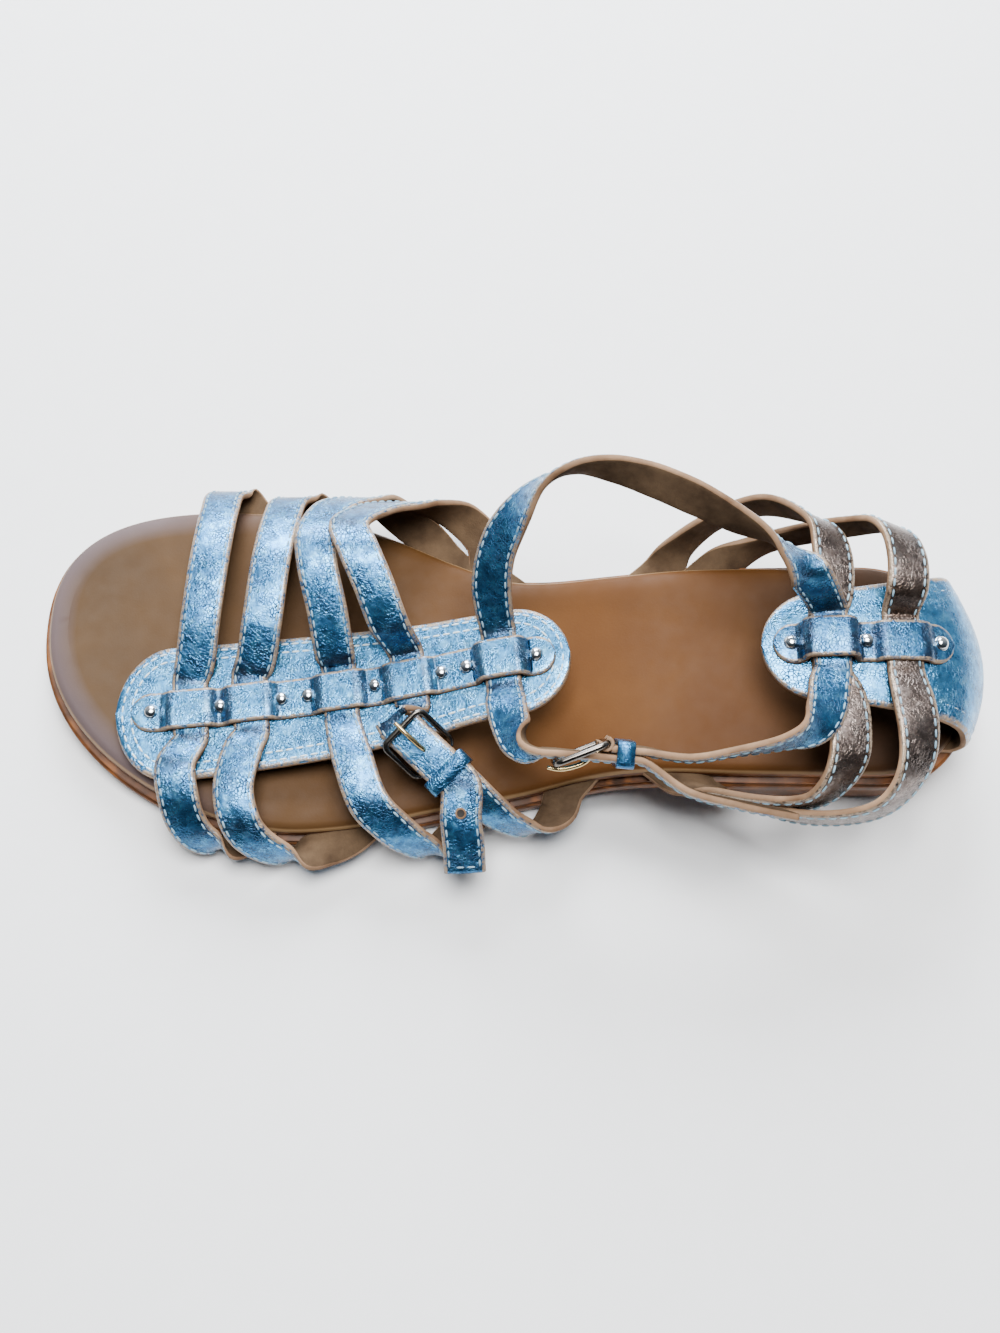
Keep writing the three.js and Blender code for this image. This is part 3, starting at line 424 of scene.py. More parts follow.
def band_object(name, the_band, foil, crown=CROWN, wave=0.0):
    """The band as a closed surface: p = at + side (c (half - r) + k) + face h, with (c, k, h) the
    section's own shares; foil on top, raw edge at the sides and suede below. Wave is the height
    of a slight ripple of its edges."""
    section, radius = band_section(the_band["thickness"], crown)
    half = the_band["half"][:, None]
    across, corner, height, part = section.T
    own = np.minimum(radius, half)
    y = across * np.maximum(half - own, 0) + corner * own / radius
    ripple = wave * np.sin(the_band["s"] / 5.1)[:, None] * across ** 3
    share = np.clip(np.abs(y) / np.maximum(the_band["half"].max(), 1e-3), 0, 1)
    points = (the_band["at"][:, None] + the_band["side"][:, None] * y[..., None]
              + the_band["face"][:, None] * (height + ripple)[..., None]
              + the_band["edges"][:, None] * (share ** 2)[..., None])
    rows, columns = y.shape
    faces = grid_faces(rows, columns)
    kind = part.astype(int)
    face_kind = np.where((kind == 0) & (np.roll(kind, -1) == 0), 0, np.where(
        (kind == 2) & (np.roll(kind, -1) == 2), 2, 1))
    index = np.tile(face_kind, rows - 1)
    index = np.concatenate([index, [1, 1]])
    rim = np.where(corner == 0, np.abs(across) ** 8, 1.0)[None] * np.ones_like(y)
    numbers = {"rim": rim.ravel(), "bend": np.repeat(the_band["bend"], columns)}
    made = make_mesh(name, points.reshape(-1, 3), faces.tolist() + end_caps(rows, columns),
                     [foil, raw_edge, suede], index, numbers)
    for face in made.data.polygons[-2:]:
        face.use_smooth = False
    return made


def stitch_object(name, rows, colour, pitch=2.8, length=2.0, width=0.55, height=0.36):
    """Stitches as small lozenges laid along lines on a band: each line is (band, s, y) arrays.
    A stitch is the unit shape (u, v, w) placed at p + along u + side v + face w, on the crown."""
    u = np.repeat([-0.5, -0.32, 0.0, 0.32, 0.5], 5)
    ring = np.tile(np.radians([0, 45, 90, 135, 180]), 5)
    swell = np.repeat([0.35, 0.9, 1.0, 0.9, 0.35], 5)
    shape = np.stack([u * length, np.cos(ring) * width / 2 * swell,
                      np.sin(ring) * height * swell - 0.06], axis=1)
    places, dirs, sides, ups = [], [], [], []
    for the_band, s, y in rows:
        line = on_band(the_band, s, y)[0]
        run = run_along(line)
        spots = np.arange(pitch / 2, run[-1], pitch)
        s_at, y_at = np.interp(spots, run, s), np.interp(spots, run, y)
        half = np.interp(s_at, the_band["s"], the_band["half"] + 1e-3)
        dome = CROWN * (1 - np.clip(np.abs(y_at) / half, 0, 1) ** 2)
        at, _, _, face = on_band(the_band, s_at, y_at, dome)
        direction = unit(columns_at(spots + 0.3, run, line) - columns_at(spots - 0.3, run, line))
        places.append(at)
        dirs.append(direction)
        sides.append(np.cross(face, direction))
        ups.append(face)
    at, ahead, across, up = (np.concatenate(v)[:, None] for v in (places, dirs, sides, ups))
    points = at + ahead * shape[:, :1] + across * shape[:, 1:2] + up * shape[:, 2:3]
    count = len(points)
    faces = grid_faces(5, 5, closed=False)
    faces = (faces[None] + (np.arange(count) * 25)[:, None, None]).reshape(-1, 4)
    return make_mesh(name, points.reshape(-1, 3), faces.tolist(), [colour])


def edge_rows(bands, insets, start, end):
    """Two lines along each band for each inset from its edges, start and end short of its ends."""
    lines = []
    for each in bands:
        s = np.arange(start, each["length"] - end, 0.5)
        half = np.interp(s, each["s"], each["half"])
        lines += [(each, s, side * (half - inset)) for inset in insets for side in (-1, 1)]
    return lines


def placed_piece(piece, nodes=()):
    """The piece rides on the sandal and stands for these CAD nodes."""
    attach(piece, "root")
    if nodes:
        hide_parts(*nodes)
    return piece


def placed_upper(pieces, node):
    """An upper's first piece stands for its CAD node; the others ride on the sandal with it."""
    for piece in pieces:
        placed_piece(piece, [node] if piece is pieces[0] else ())


print("a strap's section has", len(band_section(2.0, CROWN)[0]), "points")


# %% [markdown]
# ## Sole
# The outline and heights follow the CAD part's tables. Each sole piece is a loft of its side
# profile round the outline, here with many more stations, so that the toe and heel are round.

# %% Sole
sole_length, ball_width, waist_width, heel_width = 256.0, 98.0, 62.0, 64.0
heel_height, outsole_thickness, footbed_thickness = 12.0, 5.5, 5.0
heel_block_length, heel_inset, footbed_rim, footbed_dish = 72.0, 1.0, 2.2, 1.0
toe_spring, toe_round, heel_round = 5.0, 72.0, 28.0
clearance, press = 0.3, 0.25
back_x = -heel_block_length / 2 - heel_inset
outline_rows = [
    [0.0, 0, heel_width], [0.12, 0, heel_width], [0.25, 0, heel_width * 0.99], [0.38, 0, waist_width],
    [0.48, 0.015, waist_width * 1.09], [0.55, 0, ball_width * 0.78], [0.61, -0.018, ball_width * 0.88],
    [0.67, -0.033, ball_width * 0.965], [0.74, -0.045, ball_width], [0.86, -0.097, ball_width],
    [1.0, -0.17, ball_width]]


def round_end(distance, length):
    """(1 - (1 - d/l)^2.3)^(1/2.3): the outline's round ends."""
    t = np.clip(1 - distance / length, 0, 1)
    return (1 - t ** 2.3) ** (1 / 2.3)


def outline_point(along, side, inset):
    """A point of the sole's outline, drawn in by inset; side is 1 for the outer side."""
    along = np.asarray(along, float)
    half = smooth_at(outline_rows, 2, along) / 2 - inset
    ends = round_end(along * sole_length, heel_round) * round_end((1 - along) * sole_length, toe_round)
    x = (back_x + inset) + along * (sole_length - 2 * inset)
    y = smooth_at(outline_rows, 1, along) * ball_width + side * half * ends
    return np.stack(np.broadcast_arrays(x, y), axis=-1)


def ground_line(along):
    """The outsole's underside: heel, arch, flat ball and toe spring."""
    arch = heel_height * (1 - smooth_step((along - 0.285) / (0.52 - 0.285)))
    return arch + toe_spring * np.maximum(0, (along - 0.8) / 0.2) ** 2


def footbed_bottom(along):
    """The footbed's underside: the outsole's top and a small gap."""
    return ground_line(along) + outsole_thickness + clearance


def footbed_top(along):
    """The footbed's top at its rim: the underside and the thickness."""
    return footbed_bottom(along) + footbed_thickness


ball_top = footbed_top(0.66)


full = (1 - np.cos(np.linspace(0, np.pi, 180))) / 2
full_dish_half, inset_unit = 24.0, 50.0


def sole_piece(name, profile, floor_at, roof_at, shares, dish, columns, materials, edge_count,
               front_cap=False):
    """A loft of the side profile (inset, level) round the outline: at each station the outer wall,
    the dished top (roof - dish (1 - c^2), shallower where the sole narrows) and the inner wall;
    the underside closes it. Both sides meet at the round ends; a square front gets a cap."""
    floor, roof = floor_at(shares), roof_at(shares)
    profile = np.array(profile, float)
    walls = []
    for side in (1, -1):
        xy = np.stack([outline_point(shares, side, inset) for inset, _ in profile], axis=1)
        z = floor[:, None] + (roof - floor)[:, None] * profile[None, :, 1]
        walls.append(np.concatenate([xy, z[..., None]], axis=2))
    outer, inner = walls[0], walls[1][:, ::-1]
    c = np.linspace(1, -1, columns + 2)[1:-1]
    blend = ((1 - c) / 2)[None, :, None]
    top = outer[:, -1:] * (1 - blend) + inner[:, :1] * blend
    half = (outer[:, -1:, 1] - inner[:, :1, 1]) / 2
    top[..., 2] = roof[:, None] - dish * smooth_step(half / full_dish_half) * (1 - c[None] ** 2)
    points = np.concatenate([outer, top, inner], axis=1)
    rows, count = points.shape[:2]
    faces = grid_faces(rows, count)
    column = np.tile(np.arange(count), rows - 1)
    index = np.where((column < edge_count) | (column >= count - 1 - edge_count), 1, 0)
    caps = [list(range((rows - 1) * count, rows * count))] * front_cap
    index = np.concatenate([index, [0] * len(caps)])
    rim = np.concatenate([outline_point(full, side, profile[1, 0]) for side in (1, -1)])
    flat = points[..., :2].reshape(-1, 1, 2)
    inset = np.sqrt(((flat - rim[None]) ** 2).sum(axis=2)).min(axis=1)
    numbers = {"inset": inset / inset_unit, "along": np.repeat(shares, count)}
    made = make_mesh(name, points.reshape(-1, 3), faces.tolist() + caps, materials, index, numbers)
    shell = bmesh.new()
    shell.from_mesh(made.data)
    bmesh.ops.remove_doubles(shell, verts=shell.verts, dist=0.005 * MM)
    shell.to_mesh(made.data)
    shell.free()
    made.data.set_sharp_from_angle(angle=np.radians(50))
    return made


outsole_profile = [[1.2, 0], [0.4, 0.06], [0, 0.2], [0, 0.7], [0.2, 0.77], [0.7, 0.8],
                   [0.7, 0.98], [1.1, 1]]
footbed_profile = [[2.2, 0], [2.2, 0.3], [2.35, 0.5], [2.7, 0.68], [3.4, 0.84], [4.8, 0.95],
                   [8.2, 1]]
heel_profile = [[2.6, 0], [1.4, 0.08], [1.0, 0.2], [1.0, 1]]
heel_shares = np.linspace(0, 1, 60) ** 2 * heel_block_length / sole_length
outsole = sole_piece("outsole_smooth", outsole_profile, ground_line,
                     lambda a: ground_line(a) + outsole_thickness, full, 0, 7,
                     [edge_finish, edge_finish], 7)
footbed = sole_piece("footbed_smooth", footbed_profile, footbed_bottom, footbed_top, full,
                     footbed_dish, 15, [footbed_finish, edge_finish], 2)
heel = sole_piece("heel_block_smooth", heel_profile, lambda a: a * 0,
                  lambda a: a * 0 + heel_height - 0.05, heel_shares, 0, 5,
                  [edge_finish, edge_finish], 3, True)
placed_piece(outsole, ["outsole"])
placed_piece(footbed, ["footbed"])
placed_piece(heel, ["heel_block"])
print("sole", len(outsole.data.polygons), len(footbed.data.polygons), len(heel.data.polygons))


# %% [markdown]
# ## Front upper
# The vamp strip, its keeper band and four cross straps. They are separate bands here, laid over
# each other as the real ones are, so every edge and shadow line between the layers shows.

# %% Vamp strip and crossings
strap_width, strap_thickness, panel_thickness = 11.0, 2.0, 2.2
band_width, band_thickness = 11.0, 1.8
vamp_width, vamp_rise = 38.0, 19.0
pinched_width = strap_width * 0.88
root_depth, root_sink = 9.0, 0.1
strap_insets, panel_insets = (1.5,), (1.9, 4.3)
OUTER, INNER = 1, -1
vamp_rows = [[0.426, -0.016, 0.96, 0.78], [0.523, 0.012, 0.71, 0.79], [0.582, 0.038, 0.55, 0.85],
             [0.676, 0.07, 0.38, 0.93], [0.742, 0.088, 0.3, 0.97], [0.832, 0.112, 0.25, 1.0],
             [0.906, 0.122, 0.25, 1.0]]
vamp_knots = [knot([back_x + a * sole_length, shift * ball_width, ball_top + rise * vamp_rise],
                   [0, 1, 0], 0, width * vamp_width) for a, shift, rise, width in vamp_rows]
vamp_band = band(vamp_knots, vamp_width, panel_thickness, (vamp_width * 0.4,) * 2, 1.0, 10)
cross_shares = [0.836, 0.705, 0.506, 0.353]
ankle_share = 0.147
vamp_rivet_shares = [0.921, 0.77, 0.635, 0.576, 0.428, 0.28, 0.223, 0.072]
cross_height = panel_thickness / 2 + strap_thickness / 2 - press
free_height = panel_thickness / 2 + strap_thickness / 2 + 2 * clearance


def frame_at(the_band, share, height):
    """The place at a share of a band's length, height above its middle plane, and its directions."""
    s = np.array([share * the_band["length"]])
    at, along, side, face = on_band(the_band, s, np.zeros(1), height - the_band["thickness"] / 2)
    return at[0], along[0], side[0], face[0]


def cross_knots(the_band, share, height):
    """A strap lying flat under its keeper, from the outer side to the inner."""
    at, along, side, _ = frame_at(the_band, share, height)
    return [knot(at + side * a, along, 0, pinched_width) for a in (8, 5, 0, -5, -8)]


def root_knots(along, side, sweep):
    """The end of a strap between footbed and outsole: its edge point and a point deeper in."""
    xy = outline_point(along, side, footbed_rim - 1)
    level = strap_thickness / 2 - root_sink
    edge = np.array([*xy, footbed_bottom(along) + level])
    turn = np.radians(sweep)
    deep = edge + root_depth * np.array([-np.sin(turn), -side * np.cos(turn), 0])
    deep[2] = footbed_bottom((deep[0] - back_x) / sole_length) + level
    climb = footbed_bottom(along + 0.01) - footbed_bottom(along - 0.01)
    slope = unit(np.array([sole_length * 0.02, 0, climb]))
    return [knot(edge, slope), knot(deep, slope)]


def leaned(degrees):
    """The direction of a band's width, turned up from flat."""
    return np.array([np.cos(np.radians(degrees)), 0, np.sin(np.radians(degrees))])


def free_run(cross, root, rows):
    """Knots between a crossing and a root: shares along, across and up, then lean and roll."""
    table = [(*row, 0, 0)[:5] for row in rows]
    c, r = cross["at"], root["at"]
    return [knot([c[0] + (r[0] - c[0]) * run, c[1] + (r[1] - c[1]) * reach, r[2] + (c[2] - r[2]) * rise],
                 leaned(lean), roll) for run, reach, rise, lean, roll in table]


def strap_end(crossing, side, end):
    """One free end of a strap: from its crossing down to its root."""
    root = root_knots(end[0], side, end[1])
    return free_run(crossing[2], root[0], end[2]) + root


cross_straps = [
    {"outer": [0.765, 35, [[-0.15, 0.5, 1.18], [-0.08, 0.78, 1.02], [0.02, 0.95, 0.68], [0.2, 1.06, 0.34],
        [0.55, 1.1, 0.06]]],
     "inner": [0.785, 30, [[0.06, 0.2, 1.2], [0.2, 0.38, 1.6], [0.35, 0.66, 1.75], [0.4, 0.9, 1.3],
        [0.42, 1.03, 0.7], [0.7, 1.06, 0.12]]]},
    {"outer": [0.655, 40, [[-0.04, 0.4, 1.1], [-0.1, 0.72, 1.15], [-0.04, 0.96, 1.02], [0.05, 1.08, 0.75],
        [0.24, 1.17, 0.36], [0.45, 1.19, 0.1], [0.72, 1.12, 0.0]]],
     "inner": [0.7, 35, [[0.05, 0.18, 1.15], [0.18, 0.36, 1.6], [0.28, 0.65, 1.7], [0.36, 0.91, 1.2],
        [0.44, 1.05, 0.6], [0.72, 1.07, 0.1]]]},
    {"outer": [0.53, 45, [[0.12, 0.65, 1.22], [0.25, 1.05, 1.12], [0.4, 1.22, 0.85], [0.57, 1.34, 0.5],
        [0.74, 1.38, 0.16], [0.88, 1.25, 0.02]]],
     "inner": [0.56, 45, [[-0.05, 0.2, 1.2], [-0.12, 0.45, 1.7], [-0.22, 0.72, 2.0], [-0.25, 0.9, 2.0],
        [-0.2, 1.04, 1.78], [-0.1, 1.17, 1.48], [0.1, 1.26, 1.12], [0.32, 1.3, 0.74],
        [0.55, 1.24, 0.34], [0.8, 1.14, 0.08]]]},
    {"inner": [0.51, 45, [[-0.23, 0.34, 1.5], [-0.42, 0.6, 1.85], [-0.62, 0.86, 2.0], [-0.75, 1.07, 1.85],
        [-0.5, 1.27, 1.42], [-0.2, 1.38, 1.06], [0.18, 1.45, 0.68], [0.62, 1.42, 0.34],
        [0.92, 1.26, 0.1]]]}]
crossings = [cross_knots(vamp_band, share, cross_height) for share in cross_shares]
print("vamp strip", round(vamp_band["length"], 1), "mm")

# %% [markdown]
# ## Buckles
# Both buckles are fastened as in the photo. The billet runs under the front bar and over the heel
# bar with its fold; each buckle has its own directions: +X to the billet's tip, +Z off its face.

# %% Buckle directions
wire, frame_length, prong_wire = 1.7, 15.0, 1.3
frame_inside = strap_width + 2 * clearance + 0.4
frame_width = frame_inside + 2 * wire
fold_radius = wire / 2 + clearance
under_layer = strap_thickness + clearance
front_bar = strap_thickness / 2 + 2 * clearance + wire / 2
fold_thickness = 1.0
heel_bar = -(strap_thickness / 2 + 2 * clearance + fold_thickness + wire / 2)
bar_span = frame_length - wire
frame_tilt = np.arcsin((front_bar - heel_bar) / bar_span)
bar_place = np.cos(frame_tilt) * bar_span / 2
loop_place = bar_place + 4.9


def basis(at, along, side):
    """A buckle's directions and place: rows are billet direction, width, face and place."""
    tangent = unit(np.array(along, float))
    width = np.array(side, float)
    width = unit(width - tangent * (width @ tangent))
    return np.array([tangent, width, np.cross(tangent, width), at])


def put(the_basis, points):
    """Points given in a buckle's own directions, in the sandal's."""
    return np.asarray(points, float) @ the_basis[:3] + the_basis[3]


def buckle_knots(the_basis, rows, sign=1):
    """Band knots at (along, height) in a buckle's directions, straight across."""
    return [knot(put(the_basis, [a, 0, h]), sign * the_basis[1]) for a, h in rows]


under_rows = [(bar_place + length, -under_layer) for length in (fold_radius + 0.2, 3.5, 7, 9.5)]
instep_cross = crossings[3][2]["at"]
instep_basis = basis(instep_cross + np.array([-3, 18.8, 3.6]), [-0.72, 0.68, -0.12], [-0.66, -0.7, 0.22])
instep_tail, ankle_tail = 34.0, 56.0
billet_hang = [[0.33, 0.56, -0.12], [0.35, 0.75, -0.21], [0.36, 0.92, -0.34]]
billet_past = [loop_place, loop_place + 4.4]
instep_billet = buckle_knots(instep_basis, [(a, 0) for a in (-9, -6.4, -2, 4, 8, *billet_past)], -1)
instep_billet += [knot(instep_basis[3] + instep_tail * np.array([-b, o, d]), [1, 0, 0])
                  for b, o, d in billet_hang]
instep_root = root_knots(0.43, OUTER, 40)
instep_run = [[0.47, 1.19, 0.66, -10], [0.637, 1.34, 0.31, -30], [0.8, 1.385, 0.055, -40],
              [0.945, 1.22, -0.02, -20]]
instep_fold = buckle_knots(instep_basis, under_rows, -1)
instep_fold += free_run(crossings[3][2], instep_root[0], instep_run) + instep_root
print("buckle frames lean", round(float(np.degrees(frame_tilt)), 1), "degrees")

# %% Front straps
strap_names = ["toe_strap", "second_strap", "third_strap", "fourth_strap"]


def whole_strap(crossing, ends):
    """A strap's band from its outer end, or the instep billet, over its crossing to its inner end."""
    outer = strap_end(crossing, OUTER, ends["outer"]) if "outer" in ends else instep_billet
    knots = outer[::-1] + crossing + strap_end(crossing, INNER, ends["inner"])
    return band(knots, strap_width, strap_thickness)


front_bands = [whole_strap(crossing, ends) for crossing, ends in zip(crossings, cross_straps)]
front_pieces = [band_object("vamp_strip", vamp_band, foil_pale, crown=0.3)]
front_pieces += [band_object(n, b, foil_blue, wave=0.1) for n, b in zip(strap_names, front_bands)]
print("straps", [round(b["length"]) for b in front_bands])


# %% Keeper band and its stitches
def keeper(the_band, start, end, passes):
    """A narrow band along a strip that humps over each strap under it: lift = h (1 - S(past / ramp))
    with S the smooth step and past the distance beyond the strap's edge."""
    length = the_band["length"]
    s = np.linspace(start * length, end * length, int((end - start) * length / 1.2))
    past = np.abs(s[:, None] - np.array([p[0] for p in passes]) * length) - pinched_width / 2 - 0.3
    lift = (np.array([p[1] for p in passes]) * (1 - smooth_step(past / 2.4))).max(axis=1)
    at, along, side, face = on_band(the_band, s, np.zeros_like(s), band_thickness / 2 - press + lift)
    knots = [knot(p, d) for p, d in zip(at, side)]
    return band(knots, band_width, band_thickness, (band_width / 2, band_width / 2), 0.7, 2)


pressed_lift = strap_thickness - press
free_lift = strap_thickness + 3.6 * clearance + press
vamp_keeper = keeper(vamp_band, 0.03, 0.965,
                     [(share, pressed_lift) for share in cross_shares] + [(ankle_share, free_lift)])
front_pieces.append(band_object("vamp_keeper_band", vamp_keeper, foil_pale, crown=0.25))


def panel_row(the_band, inset, radius):
    """A line that follows a strip's whole outline, inset from it, round both ends."""
    length = the_band["length"]
    s = np.concatenate([inset + (radius - inset) * (1 - np.cos(np.linspace(0, np.pi / 2, 20))),
                        np.linspace(radius, length - radius, 200)[1:-1],
                        length - inset - (radius - inset) * (1 - np.cos(np.linspace(np.pi / 2, 0, 20)))])
    full_half = np.interp(s, the_band["s"], the_band["half"] / np.maximum(the_band["keep"], 1e-3))
    keep = rounded_by(s - inset, radius - inset) * rounded_by(length - inset - s, radius - inset)
    y = np.maximum(full_half - inset, 0) * keep
    return the_band, np.concatenate([s, s[::-1]]), np.concatenate([y, -y[::-1]])


vamp_lines = [panel_row(vamp_band, inset, vamp_width * 0.4) for inset in panel_insets]
cross_lines = edge_rows(front_bands, strap_insets, 1.5, 6)
front_pieces.append(stitch_object("vamp_stitches", vamp_lines, pale_thread))
front_pieces.append(stitch_object("cross_strap_stitches", cross_lines, thread))
placed_upper(front_pieces, "front_upper")
print("front pieces", len(front_pieces))

# %% [markdown]
# ## Heel upper
# A wide strip stands up from the back of the sole and runs forward over the heel, wrapped round
# it at its foot. Two quarter straps cross it under a second keeper band.

# %% Heel upper
heel_strip_rows = [[0.2, 0, 0, 0], [0.02, 0, 0, 7], [-0.015, 0.16, 0, 7], [0.02, 0.42, 0.05, 6],
                   [0.12, 0.76, 0.2, 3.5], [0.27, 0.95, 0.42, 1.5], [0.48, 1.02, 0.66, 0.5],
                   [0.74, 1.0, 0.9, 0], [1.0, 0.92, 1, 0]]
heel_reach, heel_rise, heel_foot_width, heel_tip_width, heel_droop = 60.0, 20.0, 46.0, 28.0, 1.6
heel_root_z = footbed_bottom(0.05) + panel_thickness / 2
heel_knots = [knot([back_x + reach * heel_reach, 0, heel_root_z + rise * heel_rise], [0, 1, 0], 0,
                   heel_foot_width + (heel_tip_width - heel_foot_width) * width,
                   (wrap, 0, -heel_droop * float(smooth_step(width * 2))))
              for reach, rise, width, wrap in heel_strip_rows]
heel_band = band(heel_knots, heel_foot_width, panel_thickness, (0, heel_tip_width / 2), 1.0, 6)
front_quarter, rear_quarter = 0.795, 0.57
heel_rivet_shares = [0.91, 0.683, 0.455]
heel_crossings = [cross_knots(heel_band, share, cross_height) for share in (front_quarter, rear_quarter)]
quarter_straps = [
    {"outer": [0.31, -50, [[-0.08, 0.5, 0.99, 0], [-0.1, 0.76, 0.98, 5], [-0.08, 1.0, 0.93, 15],
        [0.0, 1.2, 0.76, 40], [0.12, 1.3, 0.52, 62], [0.42, 1.28, 0.26, 75],
        [0.75, 1.15, 0.08, 50]]],
     "inner": [0.32, -50, [[-0.05, 0.46, 1.02, 5], [-0.06, 0.8, 1.08, 12], [-0.02, 1.06, 1.05, 30],
        [0.15, 1.26, 0.95, 60], [0.32, 1.38, 0.8, 75], [0.5, 1.4, 0.6, 80],
        [0.7, 1.34, 0.36, 75], [0.88, 1.2, 0.12, 45]]]},
    {"outer": [0.3, -50, [[-0.01, 0.56, 1.1, 5], [-0.02, 0.82, 1.08, 12], [-0.01, 1.04, 0.98, 25],
        [0.04, 1.24, 0.82, 45], [0.12, 1.37, 0.62, 60], [0.25, 1.42, 0.42, 70],
        [0.5, 1.38, 0.2, 75], [0.78, 1.2, 0.05, 50]]],
     "inner": [0.26, -50, [[-0.02, 0.42, 1.24, 5], [-0.03, 0.68, 1.3, 10], [0.0, 0.92, 1.24, 22],
        [0.07, 1.08, 1.05, 45], [0.22, 1.17, 0.74, 65], [0.42, 1.22, 0.42, 75],
        [0.7, 1.2, 0.14, 60]]]}]
quarter_bands = [whole_strap(crossing, ends) for crossing, ends in zip(heel_crossings, quarter_straps)]
heel_keeper = keeper(heel_band, 0.41, 0.965,
                     [(front_quarter, pressed_lift + free_lift), (rear_quarter, pressed_lift)])
heel_pieces = [band_object("heel_strip", heel_band, foil_pale, crown=0.3),
               band_object("front_quarter_strap", quarter_bands[0], foil_pewter, wave=0.1),
               band_object("rear_quarter_strap", quarter_bands[1], foil_pewter, wave=0.1),
               band_object("heel_keeper_band", heel_keeper, foil_blue, crown=0.25)]
heel_lines = edge_rows([heel_band], panel_insets, 14, 14)
quarter_lines = edge_rows(quarter_bands, strap_insets, 6, 6)
heel_pieces.append(stitch_object("heel_strip_stitches", heel_lines, pale_thread))
heel_pieces.append(stitch_object("quarter_strap_stitches", quarter_lines, thread))
placed_upper(heel_pieces, "heel_upper")
print("heel pieces", len(heel_pieces))

# %% [markdown]
# ## Ankle strap
# One long strap: from its buckle back through the heel keeper, round the inner side in a standing
# loop, through the vamp's last keeper and down to the buckle again, with its free end behind it.

# %% Ankle strap
back_knots = cross_knots(heel_band, front_quarter, cross_height + strap_thickness + clearance)
fore_knots = cross_knots(vamp_band, ankle_share, free_height)
ankle_back, ankle_front = back_knots[2]["at"], fore_knots[2]["at"]
ankle_middle = ankle_front + np.array([-19.5, 30.2, 14.6])
ankle_basis = basis(ankle_middle, [-1, 0.08, -0.04], [0, 0.35, 1])
ankle_rear = [[0.42, 1.04, 0.1, 90, 15], [0.6, 1.0, 0.3, 85, 12], [0.78, 0.93, 0.42, 70, 5],
              [0.88, 0.83, 0.36, 45, 0], [0.95, 0.64, 0.2, 20, 0], [0.98, 0.4, 0.06, 8, 0]]
ankle_inner = [[0.09, 0.34, 0.42, 20, 0], [0.18, 0.5, 0.55, 50, 0], [0.31, 0.62, 0.75, 75, 15],
               [0.44, 0.74, 0.9, 88, 22], [0.56, 0.84, 1.0, 90, 20], [0.67, 0.92, 1.03, 92, 5],
               [0.78, 0.96, 1.0, 95, -20], [0.87, 0.92, 0.9, 105, -25], [0.95, 0.8, 0.72, 125, -15],
               [1.01, 0.64, 0.5, 145, 0], [1.03, 0.44, 0.28, 162, 0]]
ankle_outer = [[0.06, 0.42, 0.2, 165], [0.13, 0.66, 0.45, 145], [0.24, 0.86, 0.78, 118]]
ankle_end = [[0.47, 0.15, -0.05], [0.7, 0.2, -0.1], [0.95, 0.23, -0.18]]
ankle_loop_reach, ankle_loop_rise = 40.0, 32.0


def between(a, b, share):
    """Points a and b mixed by a share, or by one share for each of x, y and z."""
    return a + (b - a) * np.asarray(share)


rear_knots = [knot(between(ankle_back, ankle_middle, [1 - run, reach, reach])
                   + np.array([0, 0, rise * strap_width]), leaned(lean), roll)
              for run, reach, rise, lean, roll in ankle_rear]
loop_knots = [knot(between(ankle_back, ankle_front, run)
                   + np.array([0, -reach * ankle_loop_reach, rise * ankle_loop_rise]), leaned(lean), roll)
              for run, reach, rise, lean, roll in ankle_inner]
down_knots = [knot(between(ankle_front, ankle_middle, [run, reach, rise]), leaned(lean))
              for run, reach, rise, lean in ankle_outer]
turned_fore = [{**k, "side": -k["side"]} for k in fore_knots][::-1]
billet_knots = buckle_knots(ankle_basis, [(a, 0) for a in (-11, -6, 0, 4, 8, *billet_past)])
end_knots = [knot(ankle_middle + ankle_tail * np.array([-b, o, d]), ankle_basis[1])
             for b, o, d in ankle_end]
ankle_knots = buckle_knots(ankle_basis, under_rows) + rear_knots + back_knots + loop_knots + turned_fore
ankle_knots += down_knots + billet_knots + end_knots
ankle_band = band(ankle_knots, strap_width, strap_thickness)
fold_band = band(instep_fold[::-1], strap_width, strap_thickness)
ankle_length, fourth = ankle_band["length"], front_bands[3]
placed_piece(band_object("ankle_strap_band", ankle_band, foil_blue, wave=0.08), ["ankle_strap"])
placed_piece(band_object("instep_buckle_strap_band", fold_band, foil_blue), ["instep_buckle_strap"])
strap_lines = edge_rows([ankle_band], strap_insets, 10, 1.5) + edge_rows([fold_band], strap_insets, 8, 10)
tip = np.linspace(-strap_width / 2 + 2.4, strap_width / 2 - 2.4, 12)
strap_lines += [(ankle_band, np.full(12, ankle_length - 1.8), tip), (fourth, np.full(12, 1.8), tip)]
placed_piece(stitch_object("strap_stitches", strap_lines, thread))
print("ankle strap", round(ankle_band["length"]), "mm")


# %% [markdown]
# ## Metal fittings and loops
# The frames, prongs and loops are tubes swept along a closed or open line; the rivets are turned
# domes with a fine foot.

# %% Metal fittings
turn_16 = np.linspace(0, 2 * np.pi, 16, endpoint=False)


def rounded_line(length, width, radius, corner=7):
    """A closed rounded rectangle in a plane: corner arcs of the radius, joined by straights."""
    arcs = []
    for quarter, (x, y) in enumerate([(1, 1), (-1, 1), (-1, -1), (1, -1)]):
        turn = np.linspace(0, np.pi / 2, corner) + quarter * np.pi / 2
        arcs.append(np.stack([x * (length / 2 - radius) + radius * np.cos(turn),
                              y * (width / 2 - radius) + radius * np.sin(turn), turn * 0], axis=1))
    return np.concatenate(arcs)


